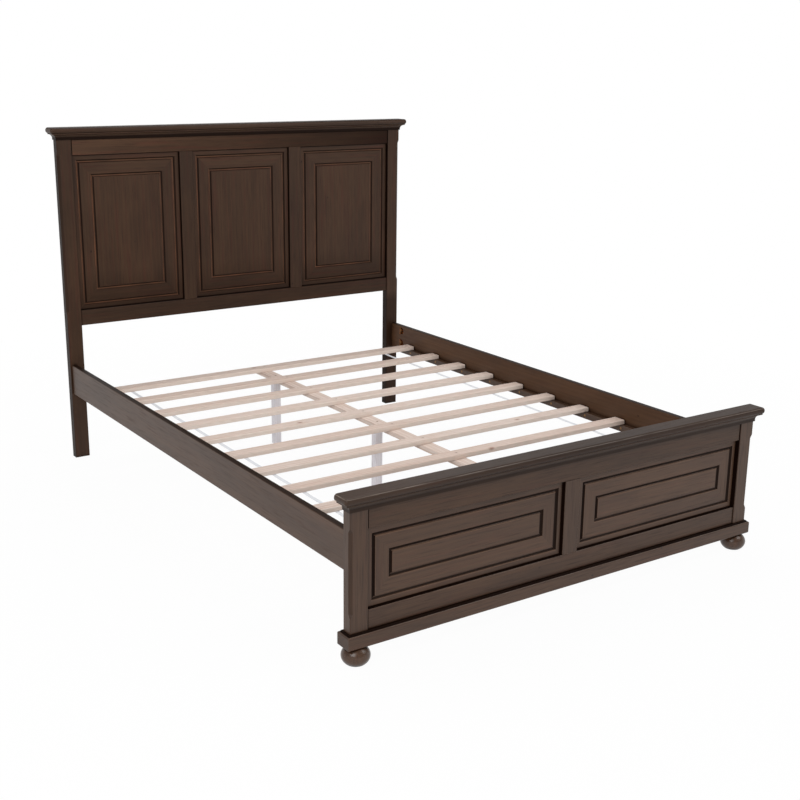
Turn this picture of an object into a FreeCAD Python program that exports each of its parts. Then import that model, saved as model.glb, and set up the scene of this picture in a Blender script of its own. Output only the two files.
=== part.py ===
import FreeCAD, Part
import Sketcher
import math
import os

# A panelled wooden double bed with a slatted base.
# X runs across the bed, Y from the foot to the head and Z up, with the origin on the floor under the middle.

doc = FreeCAD.newDocument("wooden_bed")

# Driving dimensions in millimetres: name, value, meaning.
SIZES = [
    ("clear_width", 1408, "between the side rails"),
    ("clear_length", 1930, "between the posts of the two boards"),
    ("overrun", 2, "how far a cutter reaches past the face it enters"),
    ("fit_play", 0.15, "between a fastener or dowel and its hole, all round"),
    ("end_room", 1, "beyond the end of a dowel, bolt or tongue"),
    ("ease", 1.5, "flat along the arrises of the timbers"),
    # posts
    ("post_width", 54, "across the bed"),
    ("post_depth", 32, "along the bed"),
    ("post_inset", 6, "from a post's outer face back to the side rail's"),
    ("stop_chamfer", 8, "side of the stopped chamfer on a post's outer front edge"),
    ("chamfer_runout", 14, "height over which that chamfer runs out"),
    # frame members and panels
    ("frame_setback", 3, "from the front of the posts to the front of the rails"),
    ("frame_thick", 24, "rails and mullions of the two boards"),
    ("panel_recess", 10, "from the front of the rails to the front of the panels"),
    ("panel_thick", 10, "panels and the tongues of the rails"),
    ("tongue", 8, "into a groove"),
    ("groove_play", 0.15, "each side of a tongue in its groove"),
    ("shoulder", 8, "from a rail's free edge to its end tongue"),
    ("shadow_gap", 3, "between a top rail's end and the post"),
    # headboard heights
    ("head_leg_height", 505, "floor to the bottom rail"),
    ("head_low_rail_height", 56, "bottom rail"),
    ("head_panel_height", 564, "between the rails"),
    ("head_top_rail_height", 55, "top rail"),
    ("head_cove_height", 23, "cove moulding under the cap"),
    ("head_mullion_width", 52, "upright between two panels"),
    # footboard heights
    ("foot_low_rail_height", 53.5, "bottom rail"),
    ("foot_panel_height", 218.5, "between the rails"),
    ("foot_top_rail_height", 54, "top rail"),
    ("foot_cove_height", 24.5, "cove moulding under the cap"),
    ("foot_mullion_width", 54, "upright between the panels"),
    # caps and coves
    ("cap_thick", 20, "cap slab"),
    ("cap_front", 23, "cap past the front of the posts"),
    ("cap_back", 2, "cap past the back of the posts"),
    ("cap_end", 25, "cap past the outer faces of the posts"),
    ("cap_edge", 9, "radius of the cap's rounded edge"),
    ("cove_inset", 6, "from the cap's edge back to the cove's lip"),
    ("cove_lip", 3, "height of the flat lip above the cove"),
    ("neck_height", 6, "flat band below the cove"),
    ("neck_proud", 3, "flat band past the posts"),
    # flutes on the panels
    ("flute_margin", 18, "from the edge of the opening to the outer flute"),
    ("flute_width", 10, "across a flute"),
    ("flute_depth", 4.5, "into the panel"),
    ("flute_step_share", 0.238, "step from flute to flute, of the footboard panel's height"),
    # base moulding and bun feet
    ("base_height", 41.5, "base moulding"),
    ("base_out", 11, "base past the posts"),
    ("base_round", 5, "radius of the base's long edges"),
    ("base_step_height", 3, "small step on the base"),
    ("base_step_out", 5, "small step past the posts"),
    ("bun_height", 48.5, "bun foot"),
    ("bun_width", 77, "across the ball"),
    ("bun_ball_height", 60, "ball, pole to pole, before it is cut flat"),
    ("bun_ball_middle", 22.5, "floor to the ball's widest level"),
    ("bun_neck_width", 40, "neck over the ball"),
    ("bun_neck_height", 4.5, "neck over the ball"),
    ("bun_bolt_width", 8, "bolt from foot to base"),
    ("bun_bolt_in_foot", 30, "depth in the foot"),
    ("bun_bolt_in_base", 24, "depth in the base"),
    # dowels
    ("dowel_width", 10, "every dowel"),
    ("dowel_depth", 24, "in a post or a side rail"),
    ("cap_dowel_depth", 11, "in a cap"),
    ("base_dowel_depth", 18, "in the base"),
    ("base_dowel_offset", 11, "from the post's middle"),
    # side rails and their bolts
    ("rail_thick", 20, "side rail"),
    ("rail_height", 110, "side rail"),
    ("rail_drop", 56, "from the top of the footboard's posts to the top of the side rail"),
    ("low_bolt_share", 0.32, "lower bolt's place, of the rail's height"),
    ("rail_dowel_share", 0.56, "dowel's place, of the rail's height"),
    ("high_bolt_share", 0.8, "upper bolt's place, of the rail's height"),
    ("recess_wall", 62, "from the rail's end to the recess"),
    ("recess_height", 30, "recess, and its round end"),
    ("recess_length", 28, "recess along the rail"),
    ("recess_depth", 16, "recess from the rail's inner face"),
    ("bolt_width", 8, "bed bolt"),
    ("bolt_play", 0.5, "between the bolt and the rail, all round"),
    ("bolt_tail", 4, "bolt past its nut"),
    ("insert_width", 12, "threaded insert in the post"),
    ("insert_length", 20, "threaded insert in the post"),
    ("washer_height", 26, "half-moon washer"),
    ("washer_width", 14, "half-moon washer"),
    ("washer_thick", 3, "half-moon washer"),
    ("nut_width", 13, "across the flats"),
    ("nut_height", 6.5, "along the bolt"),
    # ledges
    ("ledge_width", 22, "across the bed"),
    ("ledge_height", 23, "ledge"),
    ("ledge_rise", 2, "from the side rail's lower edge to the ledge"),
    ("ledge_end", 100, "from the post to the ledge's end"),
    # slats and tapes
    ("slat_width", 47, "along the bed"),
    ("slat_thick", 15, "slat"),
    ("slat_round", 2, "radius of the slat's long edges"),
    ("slat_gap", 3, "from the slat's end to the side rail"),
    ("slat_end", 150, "from the post to the middle of the first slat"),
    ("tape_width", 12, "webbing tape"),
    ("tape_thick", 0.8, "webbing tape"),
    ("tape_inset", 141, "from the slat's end to the middle of the tape"),
    # centre beam and legs
    ("beam_width", 46, "across the bed"),
    ("beam_thick", 16, "centre beam"),
    ("beam_end", 100, "from the post to the beam's end"),
    ("leg_width", 28, "square centre leg"),
    # countersunk screws
    ("screw_width", 4, "shank"),
    ("screw_head_width", 8, "head"),
    ("screw_head_depth", 2.4, "countersink"),
    ("slat_screw_bite", 11, "in the beam"),
    ("leg_screw_bite", 40, "in the leg"),
    ("ledge_screw_bite", 13, "in the side rail"),
    ("ledge_screw_rise", 12, "above the ledge's lower edge"),
    ("ledge_screw_offset", 26, "from a slat's middle towards the foot"),
]
SLATS = 10
RINGS = 2
LEG_PITCHES = 4
PANELS = {"head": ("left_panel", "middle_panel", "right_panel"), "foot": ("left_panel", "right_panel")}
MULLIONS = {"head": ("left_mullion", "right_mullion"), "foot": ("mullion",)}
BOARDS = ("head", "foot")
SIDES = ("left", "right")
ENDS = ("foot", "head")
HALF_TURN = 180
EIGHTH_TURN = 45
NUT_SIDES = 6

# Places worked out from the driving dimensions: name and formula.
PLACES = [
    ("rail_in", "dims.clear_width / 2"),
    ("rail_out", "rail_in + dims.rail_thick"),
    ("post_out", "rail_out + dims.post_inset"),
    ("post_in", "post_out - dims.post_width"),
    ("post_middle", "post_out - dims.post_width / 2"),
    ("bolt_middle", "rail_in + dims.recess_depth / 2"),
    ("foot_face", "(dims.cap_front - dims.cap_back - dims.clear_length) / 2"),
    ("head_face", "foot_face + dims.clear_length"),
    ("foot_front", "foot_face - dims.post_depth"),
    ("head_front", "head_face"),
    ("base_top", "dims.bun_height + dims.base_height"),
    ("head_post_bottom", "0"),
    ("foot_post_bottom", "base_top"),
    ("head_low_rail_bottom", "dims.head_leg_height"),
    ("foot_low_rail_bottom", "base_top"),
    ("groove_depth", "dims.tongue + dims.end_room"),
]
for board in BOARDS:
    gaps = len(MULLIONS[board])
    PLACES += [
        (f"{board}_members", f"{board}_front + dims.frame_setback"),
        (f"{board}_panels", f"{board}_members + dims.panel_recess"),
        (f"{board}_middle", f"{board}_front + dims.post_depth / 2"),
        (f"{board}_opening_bottom", f"{board}_low_rail_bottom + dims.{board}_low_rail_height"),
        (f"{board}_opening_top", f"{board}_opening_bottom + dims.{board}_panel_height"),
        (f"{board}_post_top", f"{board}_opening_top + dims.{board}_top_rail_height"),
        (f"{board}_cap_bottom", f"{board}_post_top + dims.{board}_cove_height"),
        (f"{board}_opening_width", f"(2 * post_in - {gaps} * dims.{board}_mullion_width) / {gaps + 1}"),
        (f"{board}_opening_pitch", f"{board}_opening_width + dims.{board}_mullion_width"),
        (f"{board}_cove_fall", f"dims.{board}_cove_height - dims.neck_height - dims.cove_lip"),
    ]
PLACES += [
    ("flute_step", "dims.flute_step_share * dims.foot_panel_height"),
    ("rail_top", "foot_post_top - dims.rail_drop"),
    ("rail_bottom", "rail_top - dims.rail_height"),
    ("ledge_bottom", "rail_bottom + dims.ledge_rise"),
    ("ledge_in", "rail_in - dims.ledge_width"),
    ("slat_bottom", "ledge_bottom + dims.ledge_height"),
    ("slat_top", "slat_bottom + dims.slat_thick"),
    ("slat_half", "rail_in - dims.slat_gap"),
    ("first_slat", "foot_face + dims.slat_end"),
    ("slat_pitch", f"(dims.clear_length - 2 * dims.slat_end) / {SLATS - 1}"),
    ("tape_middle", "slat_half - dims.tape_inset"),
    ("beam_bottom", "slat_bottom - dims.beam_thick"),
    ("bed_middle", "foot_face + dims.clear_length / 2"),
    ("bolt_reach", "dims.recess_wall + dims.washer_thick + dims.nut_height + dims.bolt_tail"),
]

dims = doc.addObject("Spreadsheet::Sheet", "dims")
for row, (alias, value, meaning) in enumerate(SIZES, start=1):
    dims.set(f"A{row}", alias)
    dims.set(f"B{row}", str(value))
    dims.set(f"C{row}", meaning)
    dims.setAlias(f"B{row}", alias)
places = doc.addObject("Spreadsheet::Sheet", "places")
for row, (alias, formula) in enumerate(PLACES, start=1):
    places.set(f"A{row}", alias)
    places.set(f"B{row}", f"={formula}")
    places.setAlias(f"B{row}", alias)
doc.recompute()

X = FreeCAD.Vector(1, 0, 0)
Y = FreeCAD.Vector(0, 1, 0)
Z = FreeCAD.Vector(0, 0, 1)
AXES = {"x": X, "y": Y, "z": Z}

# The blank of each sub-part, and what is cut out of it, by the sub-part's name.
blanks = {}
cutters = {}


def place(item, x, y, z):
    """Tie the place of an item to three formulas."""
    item.setExpression(".Placement.Base.x", x)
    item.setExpression(".Placement.Base.y", y)
    item.setExpression(".Placement.Base.z", z)


def box(name, x, y, z):
    """A square block, where x, y and z are each a start and a length."""
    item = doc.addObject("Part::Box", name)
    item.setExpression("Length", x[1])
    item.setExpression("Width", y[1])
    item.setExpression("Height", z[1])
    place(item, x[0], y[0], z[0])
    return item


def rod(name, direction, radius, length, x, y, z):
    """A round bar that starts at a place and runs in a direction."""
    item = doc.addObject("Part::Cylinder", name)
    item.Placement = FreeCAD.Placement(FreeCAD.Vector(), FreeCAD.Rotation(Z, direction))
    item.setExpression("Radius", radius)
    item.setExpression("Height", length)
    place(item, x, y, z)
    return item


def fuse(name, parts):
    """Several shapes made one."""
    item = doc.addObject("Part::MultiFuse", name)
    item.Shapes = parts
    return item


def cut(name, base, tool):
    """A shape with another taken out of it."""
    item = doc.addObject("Part::Cut", name)
    item.Base = base
    item.Tool = tool
    return item


def group(label, parts):
    """Like fasteners, separate solids in one sub-part."""
    item = doc.addObject("Part::Compound", f"{label}_set")
    item.Links = parts
    blanks[label] = item


def drill(tool, labels):
    """Take one hole or groove out of every sub-part that it crosses."""
    for label in labels:
        cutters.setdefault(label, []).append(tool)


def edges_along(shape, axes, square_back):
    """Names of a block's edges that run along any of the given axes, with a square back without those there."""
    names = []
    for number, edge in enumerate(shape.Edges, start=1):
        run = edge.Vertexes[-1].Point - edge.Vertexes[0].Point
        at_back = edge.BoundBox.YMin > shape.BoundBox.Center.y
        if any(run.cross(axis).Length < run.Length / 2 for axis in axes) and not (square_back and at_back):
            names.append(f"Edge{number}")
    return names


def timber(label, x, y, z, along, dressing="Chamfer", size="dims.ease", square_back=False):
    """A sawn piece with its edges along some axes eased or rounded."""
    body = doc.addObject("PartDesign::Body", f"{label}_timber")
    block = body.newObject("PartDesign::AdditiveBox", f"{label}_block")
    block.setExpression("Length", x[1])
    block.setExpression("Width", y[1])
    block.setExpression("Height", z[1])
    place(body, x[0], y[0], z[0])
    doc.recompute([block])
    edges = body.newObject(f"PartDesign::{dressing}", f"{label}_edges")
    edges.Base = (block, edges_along(block.Shape, along, square_back))
    edges.setExpression("Radius" if dressing == "Fillet" else "Size", size)
    body.Tip = edges
    blanks[label] = body
    return body


def widen(label, part):
    """Add a tongue, step or band to a sub-part's blank."""
    blanks[label] = fuse(f"{label}_widened", [blanks[label], part])


def both_ways(half):
    """Start and length of a stretch that is centred on the bed."""
    return (f"-({half})", f"2 * ({half})")


def on_side(side, inner, outer):
    """Start and length of a stretch on one side of the bed."""
    start = inner if side == "right" else f"-({outer})"
    return (start, f"({outer}) - ({inner})")


def at_side(side, distance):
    """A distance from the middle, towards one side of the bed."""
    return distance if side == "right" else f"-({distance})"


def between(low, high):
    """Start and length of a stretch between two places."""
    return (low, f"({high}) - ({low})")


def grown(start, end, by):
    """A stretch between two places, made longer at both ends."""
    return between(f"({start}) - ({by})", f"({end}) + ({by})")


def screw(name, direction, length, play, x, y, z):
    """A countersunk screw from the middle of its head, or with play the hole for it."""
    head = doc.addObject("Part::Cone", f"{name}_head")
    head.Placement = FreeCAD.Placement(FreeCAD.Vector(), FreeCAD.Rotation(Z, direction))
    head.setExpression("Radius1", f"dims.screw_head_width / 2 + {play}")
    head.setExpression("Radius2", f"dims.screw_width / 2 + {play}")
    head.setExpression("Height", "dims.screw_head_depth")
    place(head, x, y, z)
    shank = rod(f"{name}_shank", direction, f"dims.screw_width / 2 + {play}", f"{length} + {play}", x, y, z)
    return fuse(name, [head, shank])


def screw_through(name, direction, length, labels, x, y, z):
    """A screw, with its hole in the sub-parts that it holds together."""
    drill(screw(f"{name}_hole", direction, length, "dims.fit_play", x, y, z), labels)
    return screw(name, direction, length, "0", x, y, z)


def dowel_through(name, axis, length, labels, x, y, z):
    """A dowel that runs along an axis from a place, with its hole in the sub-parts that it lines up."""
    hole_start = {"x": x, "y": y, "z": z}
    hole_start[axis] = f"({hole_start[axis]}) - dims.end_room"
    hole_radius = "dims.dowel_width / 2 + dims.fit_play"
    hole_length = f"{length} + 2 * dims.end_room"
    drill(rod(f"{name}_hole", AXES[axis], hole_radius, hole_length, *hole_start.values()), labels)
    return rod(name, AXES[axis], "dims.dowel_width / 2", length, x, y, z)


def dimension(sketch, constraint, formula):
    """Add a dimension to a sketch and tie it to a formula."""
    sketch.setExpression(f"Constraints[{sketch.addConstraint(constraint)}]", formula)


def flute_ring(name, x, y, z, width, height):
    """Cutter for a round-bottomed flute round a rectangle, mitred at the corners."""
    path = doc.addObject("Sketcher::SketchObject", f"{name}_path")
    corners = [FreeCAD.Vector(), X, X + Y, Y]
    for first, last in zip(corners, corners[1:] + corners[:1]):
        path.addGeometry(Part.LineSegment(first, last))
    for edge in range(len(corners)):
        path.addConstraint(Sketcher.Constraint("Coincident", edge, 2, (edge + 1) % len(corners), 1))
        path.addConstraint(Sketcher.Constraint("Vertical" if edge % 2 else "Horizontal", edge))
    path.addConstraint(Sketcher.Constraint("Coincident", 0, 1, -1, 1))
    dimension(path, Sketcher.Constraint("DistanceX", 0, 1, 0, 2, 1), width)
    dimension(path, Sketcher.Constraint("DistanceY", 1, 1, 1, 2, 1), height)
    path.Placement = FreeCAD.Placement(FreeCAD.Vector(), FreeCAD.Rotation(X, Z, -Y, "ZXY"))
    place(path, x, y, z)
    section = flute_section(f"{name}_section")
    place(section, x, y, f"{z} - dims.flute_width / 2")
    ring = doc.addObject("Part::Sweep", name)
    ring.Sections = [section]
    ring.Spine = (path, [f"Edge{number}" for number in range(1, len(corners) + 1)])
    ring.Solid = True
    ring.Transition = "Right corner"
    return ring


def flute_section(name):
    """What is cut away for a flute: a round bottom, and the air over it."""
    section = doc.addObject("Sketcher::SketchObject", name)
    slant = math.asin(0.28)
    section.addGeometry(Part.ArcOfCircle(Part.Circle(2 * X + 0.6 * Y, Z, 2.1), math.pi + slant, 2 * math.pi - slant))
    section.addGeometry(Part.LineSegment(4 * X, 4 * X + 2 * Y))
    section.addGeometry(Part.LineSegment(4 * X + 2 * Y, 2 * Y))
    section.addGeometry(Part.LineSegment(2 * Y, FreeCAD.Vector()))
    for first, second in ((0, 1), (1, 2), (2, 3), (3, 0)):
        section.addConstraint(Sketcher.Constraint("Coincident", first, 2, second, 1))
    section.addConstraint(Sketcher.Constraint("Coincident", 0, 1, -1, 1))
    section.addConstraint(Sketcher.Constraint("PointOnObject", 0, 2, -1))
    section.addConstraint(Sketcher.Constraint("Horizontal", 2))
    for upright in (1, 3):
        section.addConstraint(Sketcher.Constraint("Vertical", upright))
    radius = "(dims.flute_width ^ 2 / 4 + dims.flute_depth ^ 2) / (2 * dims.flute_depth)"
    dimension(section, Sketcher.Constraint("DistanceX", 0, 1, 0, 2, 4), "dims.flute_width")
    dimension(section, Sketcher.Constraint("Radius", 0, 2.1), radius)
    dimension(section, Sketcher.Constraint("DistanceY", 1, 1, 1, 2, 2), "dims.overrun")
    section.Placement = FreeCAD.Placement(FreeCAD.Vector(), FreeCAD.Rotation(Z, -Y, X, "ZXY"))
    return section


def posts(board):
    """Two posts with a stopped chamfer and a groove for the rails and panels."""
    groove_bottom = f"places.{board}_low_rail_bottom + dims.shoulder - dims.groove_play"
    groove_top = f"places.{board}_post_top - dims.shoulder + dims.groove_play"
    for side in SIDES:
        label = f"{board}board_{side}_post"
        across = on_side(side, "places.post_in", "places.post_out")
        height = between(f"places.{board}_post_bottom", f"places.{board}_post_top")
        timber(label, across, (f"places.{board}_front", "dims.post_depth"), height, [Z])
        groove_across = on_side(side, "places.post_in - dims.overrun", "places.post_in + places.groove_depth")
        groove_height = between(groove_bottom, groove_top)
        drill(box(f"{label}_groove", groove_across, groove_stretch(board), groove_height), [label])
        drill(stopped_chamfer(board, side), [label])


def groove_stretch(board):
    """Where the grooves of a board lie along the bed."""
    start = f"places.{board}_panels"
    return grown(start, f"{start} + dims.panel_thick", "dims.groove_play")


def stopped_chamfer(board, side):
    """Cutter for the chamfer on a post's outer front edge, which runs out at both ends."""
    turn = EIGHTH_TURN if side == "right" else -EIGHTH_TURN
    item = doc.addObject("Part::Wedge", f"{board}board_{side}_chamfer")
    item.Placement = FreeCAD.Placement(FreeCAD.Vector(), FreeCAD.Rotation(Z, turn))
    for name in ("Xmin", "X2min"):
        item.setExpression(name, "-dims.stop_chamfer")
    for name in ("Xmax", "X2max"):
        item.setExpression(name, "dims.stop_chamfer")
    item.setExpression("Ymin", "0")
    item.setExpression("Ymax", "dims.stop_chamfer * sqrt(2) / 2")
    item.setExpression("Zmin", f"places.{board}_opening_bottom - dims.chamfer_runout")
    item.setExpression("Z2min", f"places.{board}_opening_bottom")
    item.setExpression("Z2max", f"places.{board}_opening_top")
    item.setExpression("Zmax", f"places.{board}_opening_top + dims.chamfer_runout")
    place(item, at_side(side, "places.post_out"), f"places.{board}_front", "0")
    return item


def rails(board):
    """Top and bottom rail, each with a tongue at its ends and a groove along the panels."""
    opening_bottom = f"places.{board}_opening_bottom"
    opening_top = f"places.{board}_opening_top"
    low = f"places.{board}_low_rail_bottom"
    high = f"places.{board}_post_top"
    members = (f"places.{board}_members", "dims.frame_thick")
    tongues = (f"places.{board}_panels", "dims.panel_thick")
    tongue_ends = both_ways("places.post_in + dims.tongue")
    full_width = both_ways("places.post_in + dims.overrun")

    label = f"{board}board_top_rail"
    timber(label, both_ways("places.post_in - dims.shadow_gap"), members, between(opening_top, high), [X])
    tongue = between(f"{opening_top} + places.groove_depth", f"{high} - dims.shoulder")
    widen(label, box(f"{label}_tongue", tongue_ends, tongues, tongue))
    groove = between(f"{opening_top} - dims.overrun", f"{opening_top} + places.groove_depth")
    drill(box(f"{label}_groove", full_width, groove_stretch(board), groove), [label])

    label = f"{board}board_bottom_rail"
    timber(label, both_ways("places.post_in"), members, between(low, opening_bottom), [X])
    tongue = between(f"{low} + dims.shoulder", f"{opening_bottom} - places.groove_depth")
    widen(label, box(f"{label}_tongue", tongue_ends, tongues, tongue))
    groove = between(f"{opening_bottom} - places.groove_depth", f"{opening_bottom} + dims.overrun")
    drill(box(f"{label}_groove", full_width, groove_stretch(board), groove), [label])


def mullions(board):
    """Uprights between the panels, with a tongue at each end and a groove down each side."""
    opening_bottom = f"places.{board}_opening_bottom"
    opening_top = f"places.{board}_opening_top"
    width = f"dims.{board}_mullion_width"
    for number, name in enumerate(MULLIONS[board]):
        label = f"{board}board_{name}"
        start = f"-places.post_in + places.{board}_opening_width + {number} * places.{board}_opening_pitch"
        end = f"{start} + {width}"
        height = between(opening_bottom, opening_top)
        timber(label, (start, width), (f"places.{board}_members", "dims.frame_thick"), height, [Z])
        core = between(f"{start} + places.groove_depth", f"{end} - places.groove_depth")
        tongue = grown(opening_bottom, opening_top, "dims.tongue")
        widen(label, box(f"{label}_tongue", core, (f"places.{board}_panels", "dims.panel_thick"), tongue))
        groove_height = grown(opening_bottom, opening_top, "dims.overrun")
        near = between(f"{start} - dims.overrun", f"{start} + places.groove_depth")
        far = between(f"{end} - places.groove_depth", f"{end} + dims.overrun")
        drill(box(f"{label}_near_groove", near, groove_stretch(board), groove_height), [label])
        drill(box(f"{label}_far_groove", far, groove_stretch(board), groove_height), [label])


def panels(board):
    """Flat panels held by their edges, each with two flutes round it."""
    front = f"places.{board}_panels"
    bottom = f"places.{board}_opening_bottom"
    top = f"places.{board}_opening_top"
    width = f"places.{board}_opening_width"
    height = f"dims.{board}_panel_height"
    for number, name in enumerate(PANELS[board]):
        label = f"{board}board_{name}"
        start = f"-places.post_in + {number} * places.{board}_opening_pitch"
        across = grown(start, f"{start} + {width}", "dims.tongue")
        upright = grown(bottom, top, "dims.tongue")
        blanks[label] = box(f"{label}_sheet", across, (front, "dims.panel_thick"), upright)
        for ring in range(RINGS):
            inset = f"(dims.flute_margin + dims.flute_width / 2 + {ring} * places.flute_step)"
            x = f"{start} + {inset}"
            z = f"{bottom} + {inset}"
            spans = (f"{width} - 2 * {inset}", f"{height} - 2 * {inset}")
            drill(flute_ring(f"{label}_flute_{ring}", x, front, z, *spans), [label])


def cap(board):
    """Cap slab with a rounded front and rounded ends, on a board that is coved below them."""
    front = f"places.{board}_front"
    back = f"places.{board}_front + dims.post_depth"
    bottom = f"places.{board}_cap_bottom"
    across = both_ways("places.post_out + dims.cap_end")
    along = between(f"{front} - dims.cap_front", f"{back} + dims.cap_back")
    thick = (bottom, "dims.cap_thick")
    timber(f"{board}board_cap", across, along, thick, [X, Y, Z], "Fillet", "dims.cap_edge", square_back=True)

    label = f"{board}board_cove_moulding"
    end_edge = "places.post_out + dims.cap_end - dims.cove_inset"
    front_edge = f"{front} - dims.cap_front + dims.cove_inset"
    neck_top = f"places.{board}_post_top + dims.neck_height"
    slab_along = between(front_edge, back)
    slab = box(f"{label}_slab", both_ways(end_edge), slab_along, between(neck_top, bottom))
    hollows = []
    for name, overhang, direction, x in (
        ("front", "dims.cap_front", X, f"-({end_edge})"),
        ("left", "dims.cap_end", Y, f"-({end_edge})"),
        ("right", "dims.cap_end", Y, end_edge),
    ):
        reach = f"({overhang} - dims.cove_inset - dims.neck_proud)"
        fall = f"places.{board}_cove_fall"
        radius = f"({reach} * {reach} + {fall} * {fall}) / (2 * {fall})"
        length = f"2 * ({end_edge})" if direction == X else f"({back}) - ({front_edge})"
        z = f"{bottom} - dims.cove_lip - {radius}"
        hollows.append(rod(f"{label}_{name}", direction, radius, length, x, front_edge, z))
    coved = cut(f"{label}_coved", slab, fuse(f"{label}_hollows", hollows))
    neck_across = both_ways("places.post_out + dims.neck_proud")
    neck_along = between(f"{front} - dims.neck_proud", back)
    neck = box(f"{label}_neck", neck_across, neck_along, (f"places.{board}_post_top", "dims.neck_height"))
    blanks[label] = fuse(f"{label}_board", [coved, neck])


def base():
    """Moulding under the footboard: a rounded bar with a small step on it."""
    label = "footboard_base"
    back = "places.foot_front + dims.post_depth"
    step_bottom = "places.base_top - dims.base_step_height"
    along = grown("places.foot_front", back, "dims.base_out")
    across = both_ways("places.post_out + dims.base_out")
    timber(label, across, along, between("dims.bun_height", step_bottom), [X, Y], "Fillet", "dims.base_round")
    step_across = both_ways("places.post_out + dims.base_step_out")
    step_along = grown("places.foot_front", back, "dims.base_step_out")
    widen(label, box(f"{label}_step", step_across, step_along, (step_bottom, "dims.base_step_height")))


def bun_feet():
    """Turned feet: a ball cut flat at the floor, under a short neck, each with a bolt up into the base."""
    bolts = []
    for side in SIDES:
        label = f"{side}_bun_foot"
        x = at_side(side, "places.post_middle")
        y = "places.foot_middle"
        ball = doc.addObject("Part::Ellipsoid", f"{label}_ball")
        ball.setExpression("Radius1", "dims.bun_ball_height / 2")
        ball.setExpression("Radius2", "dims.bun_width / 2")
        ball.setExpression("Radius3", "dims.bun_width / 2")
        place(ball, x, y, "dims.bun_ball_middle")
        neck_bottom = "dims.bun_height - dims.bun_neck_height"
        neck = rod(f"{label}_neck", Z, "dims.bun_neck_width / 2", "dims.bun_neck_height", x, y, neck_bottom)
        blanks[label] = fuse(f"{label}_turning", [ball, neck])
        below = "-dims.bun_ball_height"
        drill(rod(f"{label}_floor", Z, "dims.bun_width", "dims.bun_ball_height", x, y, below), [label])
        drill(rod(f"{label}_ceiling", Z, "dims.bun_width", "dims.bun_ball_height", x, y, "dims.bun_height"), [label])
        start = "dims.bun_height - dims.bun_bolt_in_foot"
        length = "dims.bun_bolt_in_foot + dims.bun_bolt_in_base"
        hole_start = f"{start} - dims.end_room"
        hole_length = f"{length} + 2 * dims.end_room"
        hole_radius = "dims.bun_bolt_width / 2 + dims.fit_play"
        drill(rod(f"{label}_hole", Z, hole_radius, hole_length, x, y, hole_start), [label, "footboard_base"])
        bolts.append(rod(f"{label}_bolt", Z, "dims.bun_bolt_width / 2", length, x, y, start))
    group("bun_foot_bolts", bolts)


def hidden_dowels():
    """Dowels that hold the caps on the posts and the footboard's posts on the base."""
    in_caps = []
    in_base = []
    for side in SIDES:
        for board in BOARDS:
            labels = [f"{board}board_{side}_post", f"{board}board_cove_moulding", f"{board}board_cap"]
            length = f"dims.dowel_depth + dims.{board}_cove_height + dims.cap_dowel_depth"
            start = f"places.{board}_post_top - dims.dowel_depth"
            x = at_side(side, "places.post_middle")
            name = f"{board}_{side}_cap_dowel"
            in_caps.append(dowel_through(name, "z", length, labels, x, f"places.{board}_middle", start))
        for sign, place_name in (("-", "inner"), ("+", "outer")):
            labels = [f"footboard_{side}_post", "footboard_base"]
            length = "dims.base_dowel_depth + dims.dowel_depth"
            start = "places.base_top - dims.base_dowel_depth"
            x = at_side(side, f"places.post_middle {sign} dims.base_dowel_offset")
            name = f"{side}_{place_name}_base_dowel"
            in_base.append(dowel_through(name, "z", length, labels, x, "places.foot_middle", start))
    group("cap_dowels", in_caps)
    group("base_dowels", in_base)


def side_rails():
    """Side rails, each end held to its post by two bolts and lined up by a dowel."""
    bolts, inserts, washers, nuts, dowels = [], [], [], [], []
    for side in SIDES:
        label = f"{side}_side_rail"
        across = on_side(side, "places.rail_in", "places.rail_out")
        height = ("places.rail_bottom", "dims.rail_height")
        timber(label, across, between("places.foot_face", "places.head_face"), height, [Y])
        for end in ENDS:
            post = f"{end}board_{side}_post"
            x = at_side(side, "places.bolt_middle")
            y = f"places.{end}_face - dims.dowel_depth"
            z = "places.rail_bottom + dims.rail_dowel_share * dims.rail_height"
            name = f"{side}_{end}_rail_dowel"
            dowels.append(dowel_through(name, "y", "2 * dims.dowel_depth", [label, post], x, y, z))
            for level in ("low", "high"):
                z = f"places.rail_bottom + dims.{level}_bolt_share * dims.rail_height"
                name = f"{side}_{end}_{level}"
                drill(bolt_recess(name, side, end, z), [label])
                bolts.append(bed_bolt(name, label, end, x, z))
                inserts.append(post_insert(name, post, end, x, z))
                washers.append(half_moon_washer(name, end, x, z))
                nuts.append(bolt_nut(name, end, x, z))
    group("bed_bolts", bolts)
    group("post_inserts", inserts)
    group("half_moon_washers", washers)
    group("bed_bolt_nuts", nuts)
    group("rail_dowels", dowels)


def from_end(end, near, length):
    """Start and length of a stretch into the bed, from a distance off the foot's or the head's posts."""
    if end == "foot":
        return (f"places.foot_face + ({near})", length)
    return (f"places.head_face - ({near}) - ({length})", length)


def bolt_recess(name, side, end, z):
    """Cutter for the recess that takes a bolt's nut, square towards the post and round at its other end."""
    across = on_side(side, "places.rail_in - dims.overrun", "places.rail_in + dims.recess_depth")
    straight = "dims.recess_length - dims.recess_height / 2"
    along = from_end(end, "dims.recess_wall", straight)
    tall = (f"{z} - dims.recess_height / 2", "dims.recess_height")
    square = box(f"{name}_recess_square", across, along, tall)
    away = Y if end == "foot" else -Y
    disc = doc.addObject("Part::Cylinder", f"{name}_recess_round")
    disc.Placement = FreeCAD.Placement(FreeCAD.Vector(), FreeCAD.Rotation(away.cross(X), away, X, "ZXY"))
    disc.Angle = HALF_TURN
    disc.setExpression("Radius", "dims.recess_height / 2")
    disc.setExpression("Height", across[1])
    place(disc, across[0], from_end(end, f"dims.recess_wall + {straight}", "0")[0], z)
    return fuse(f"{name}_recess", [square, disc])


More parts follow.
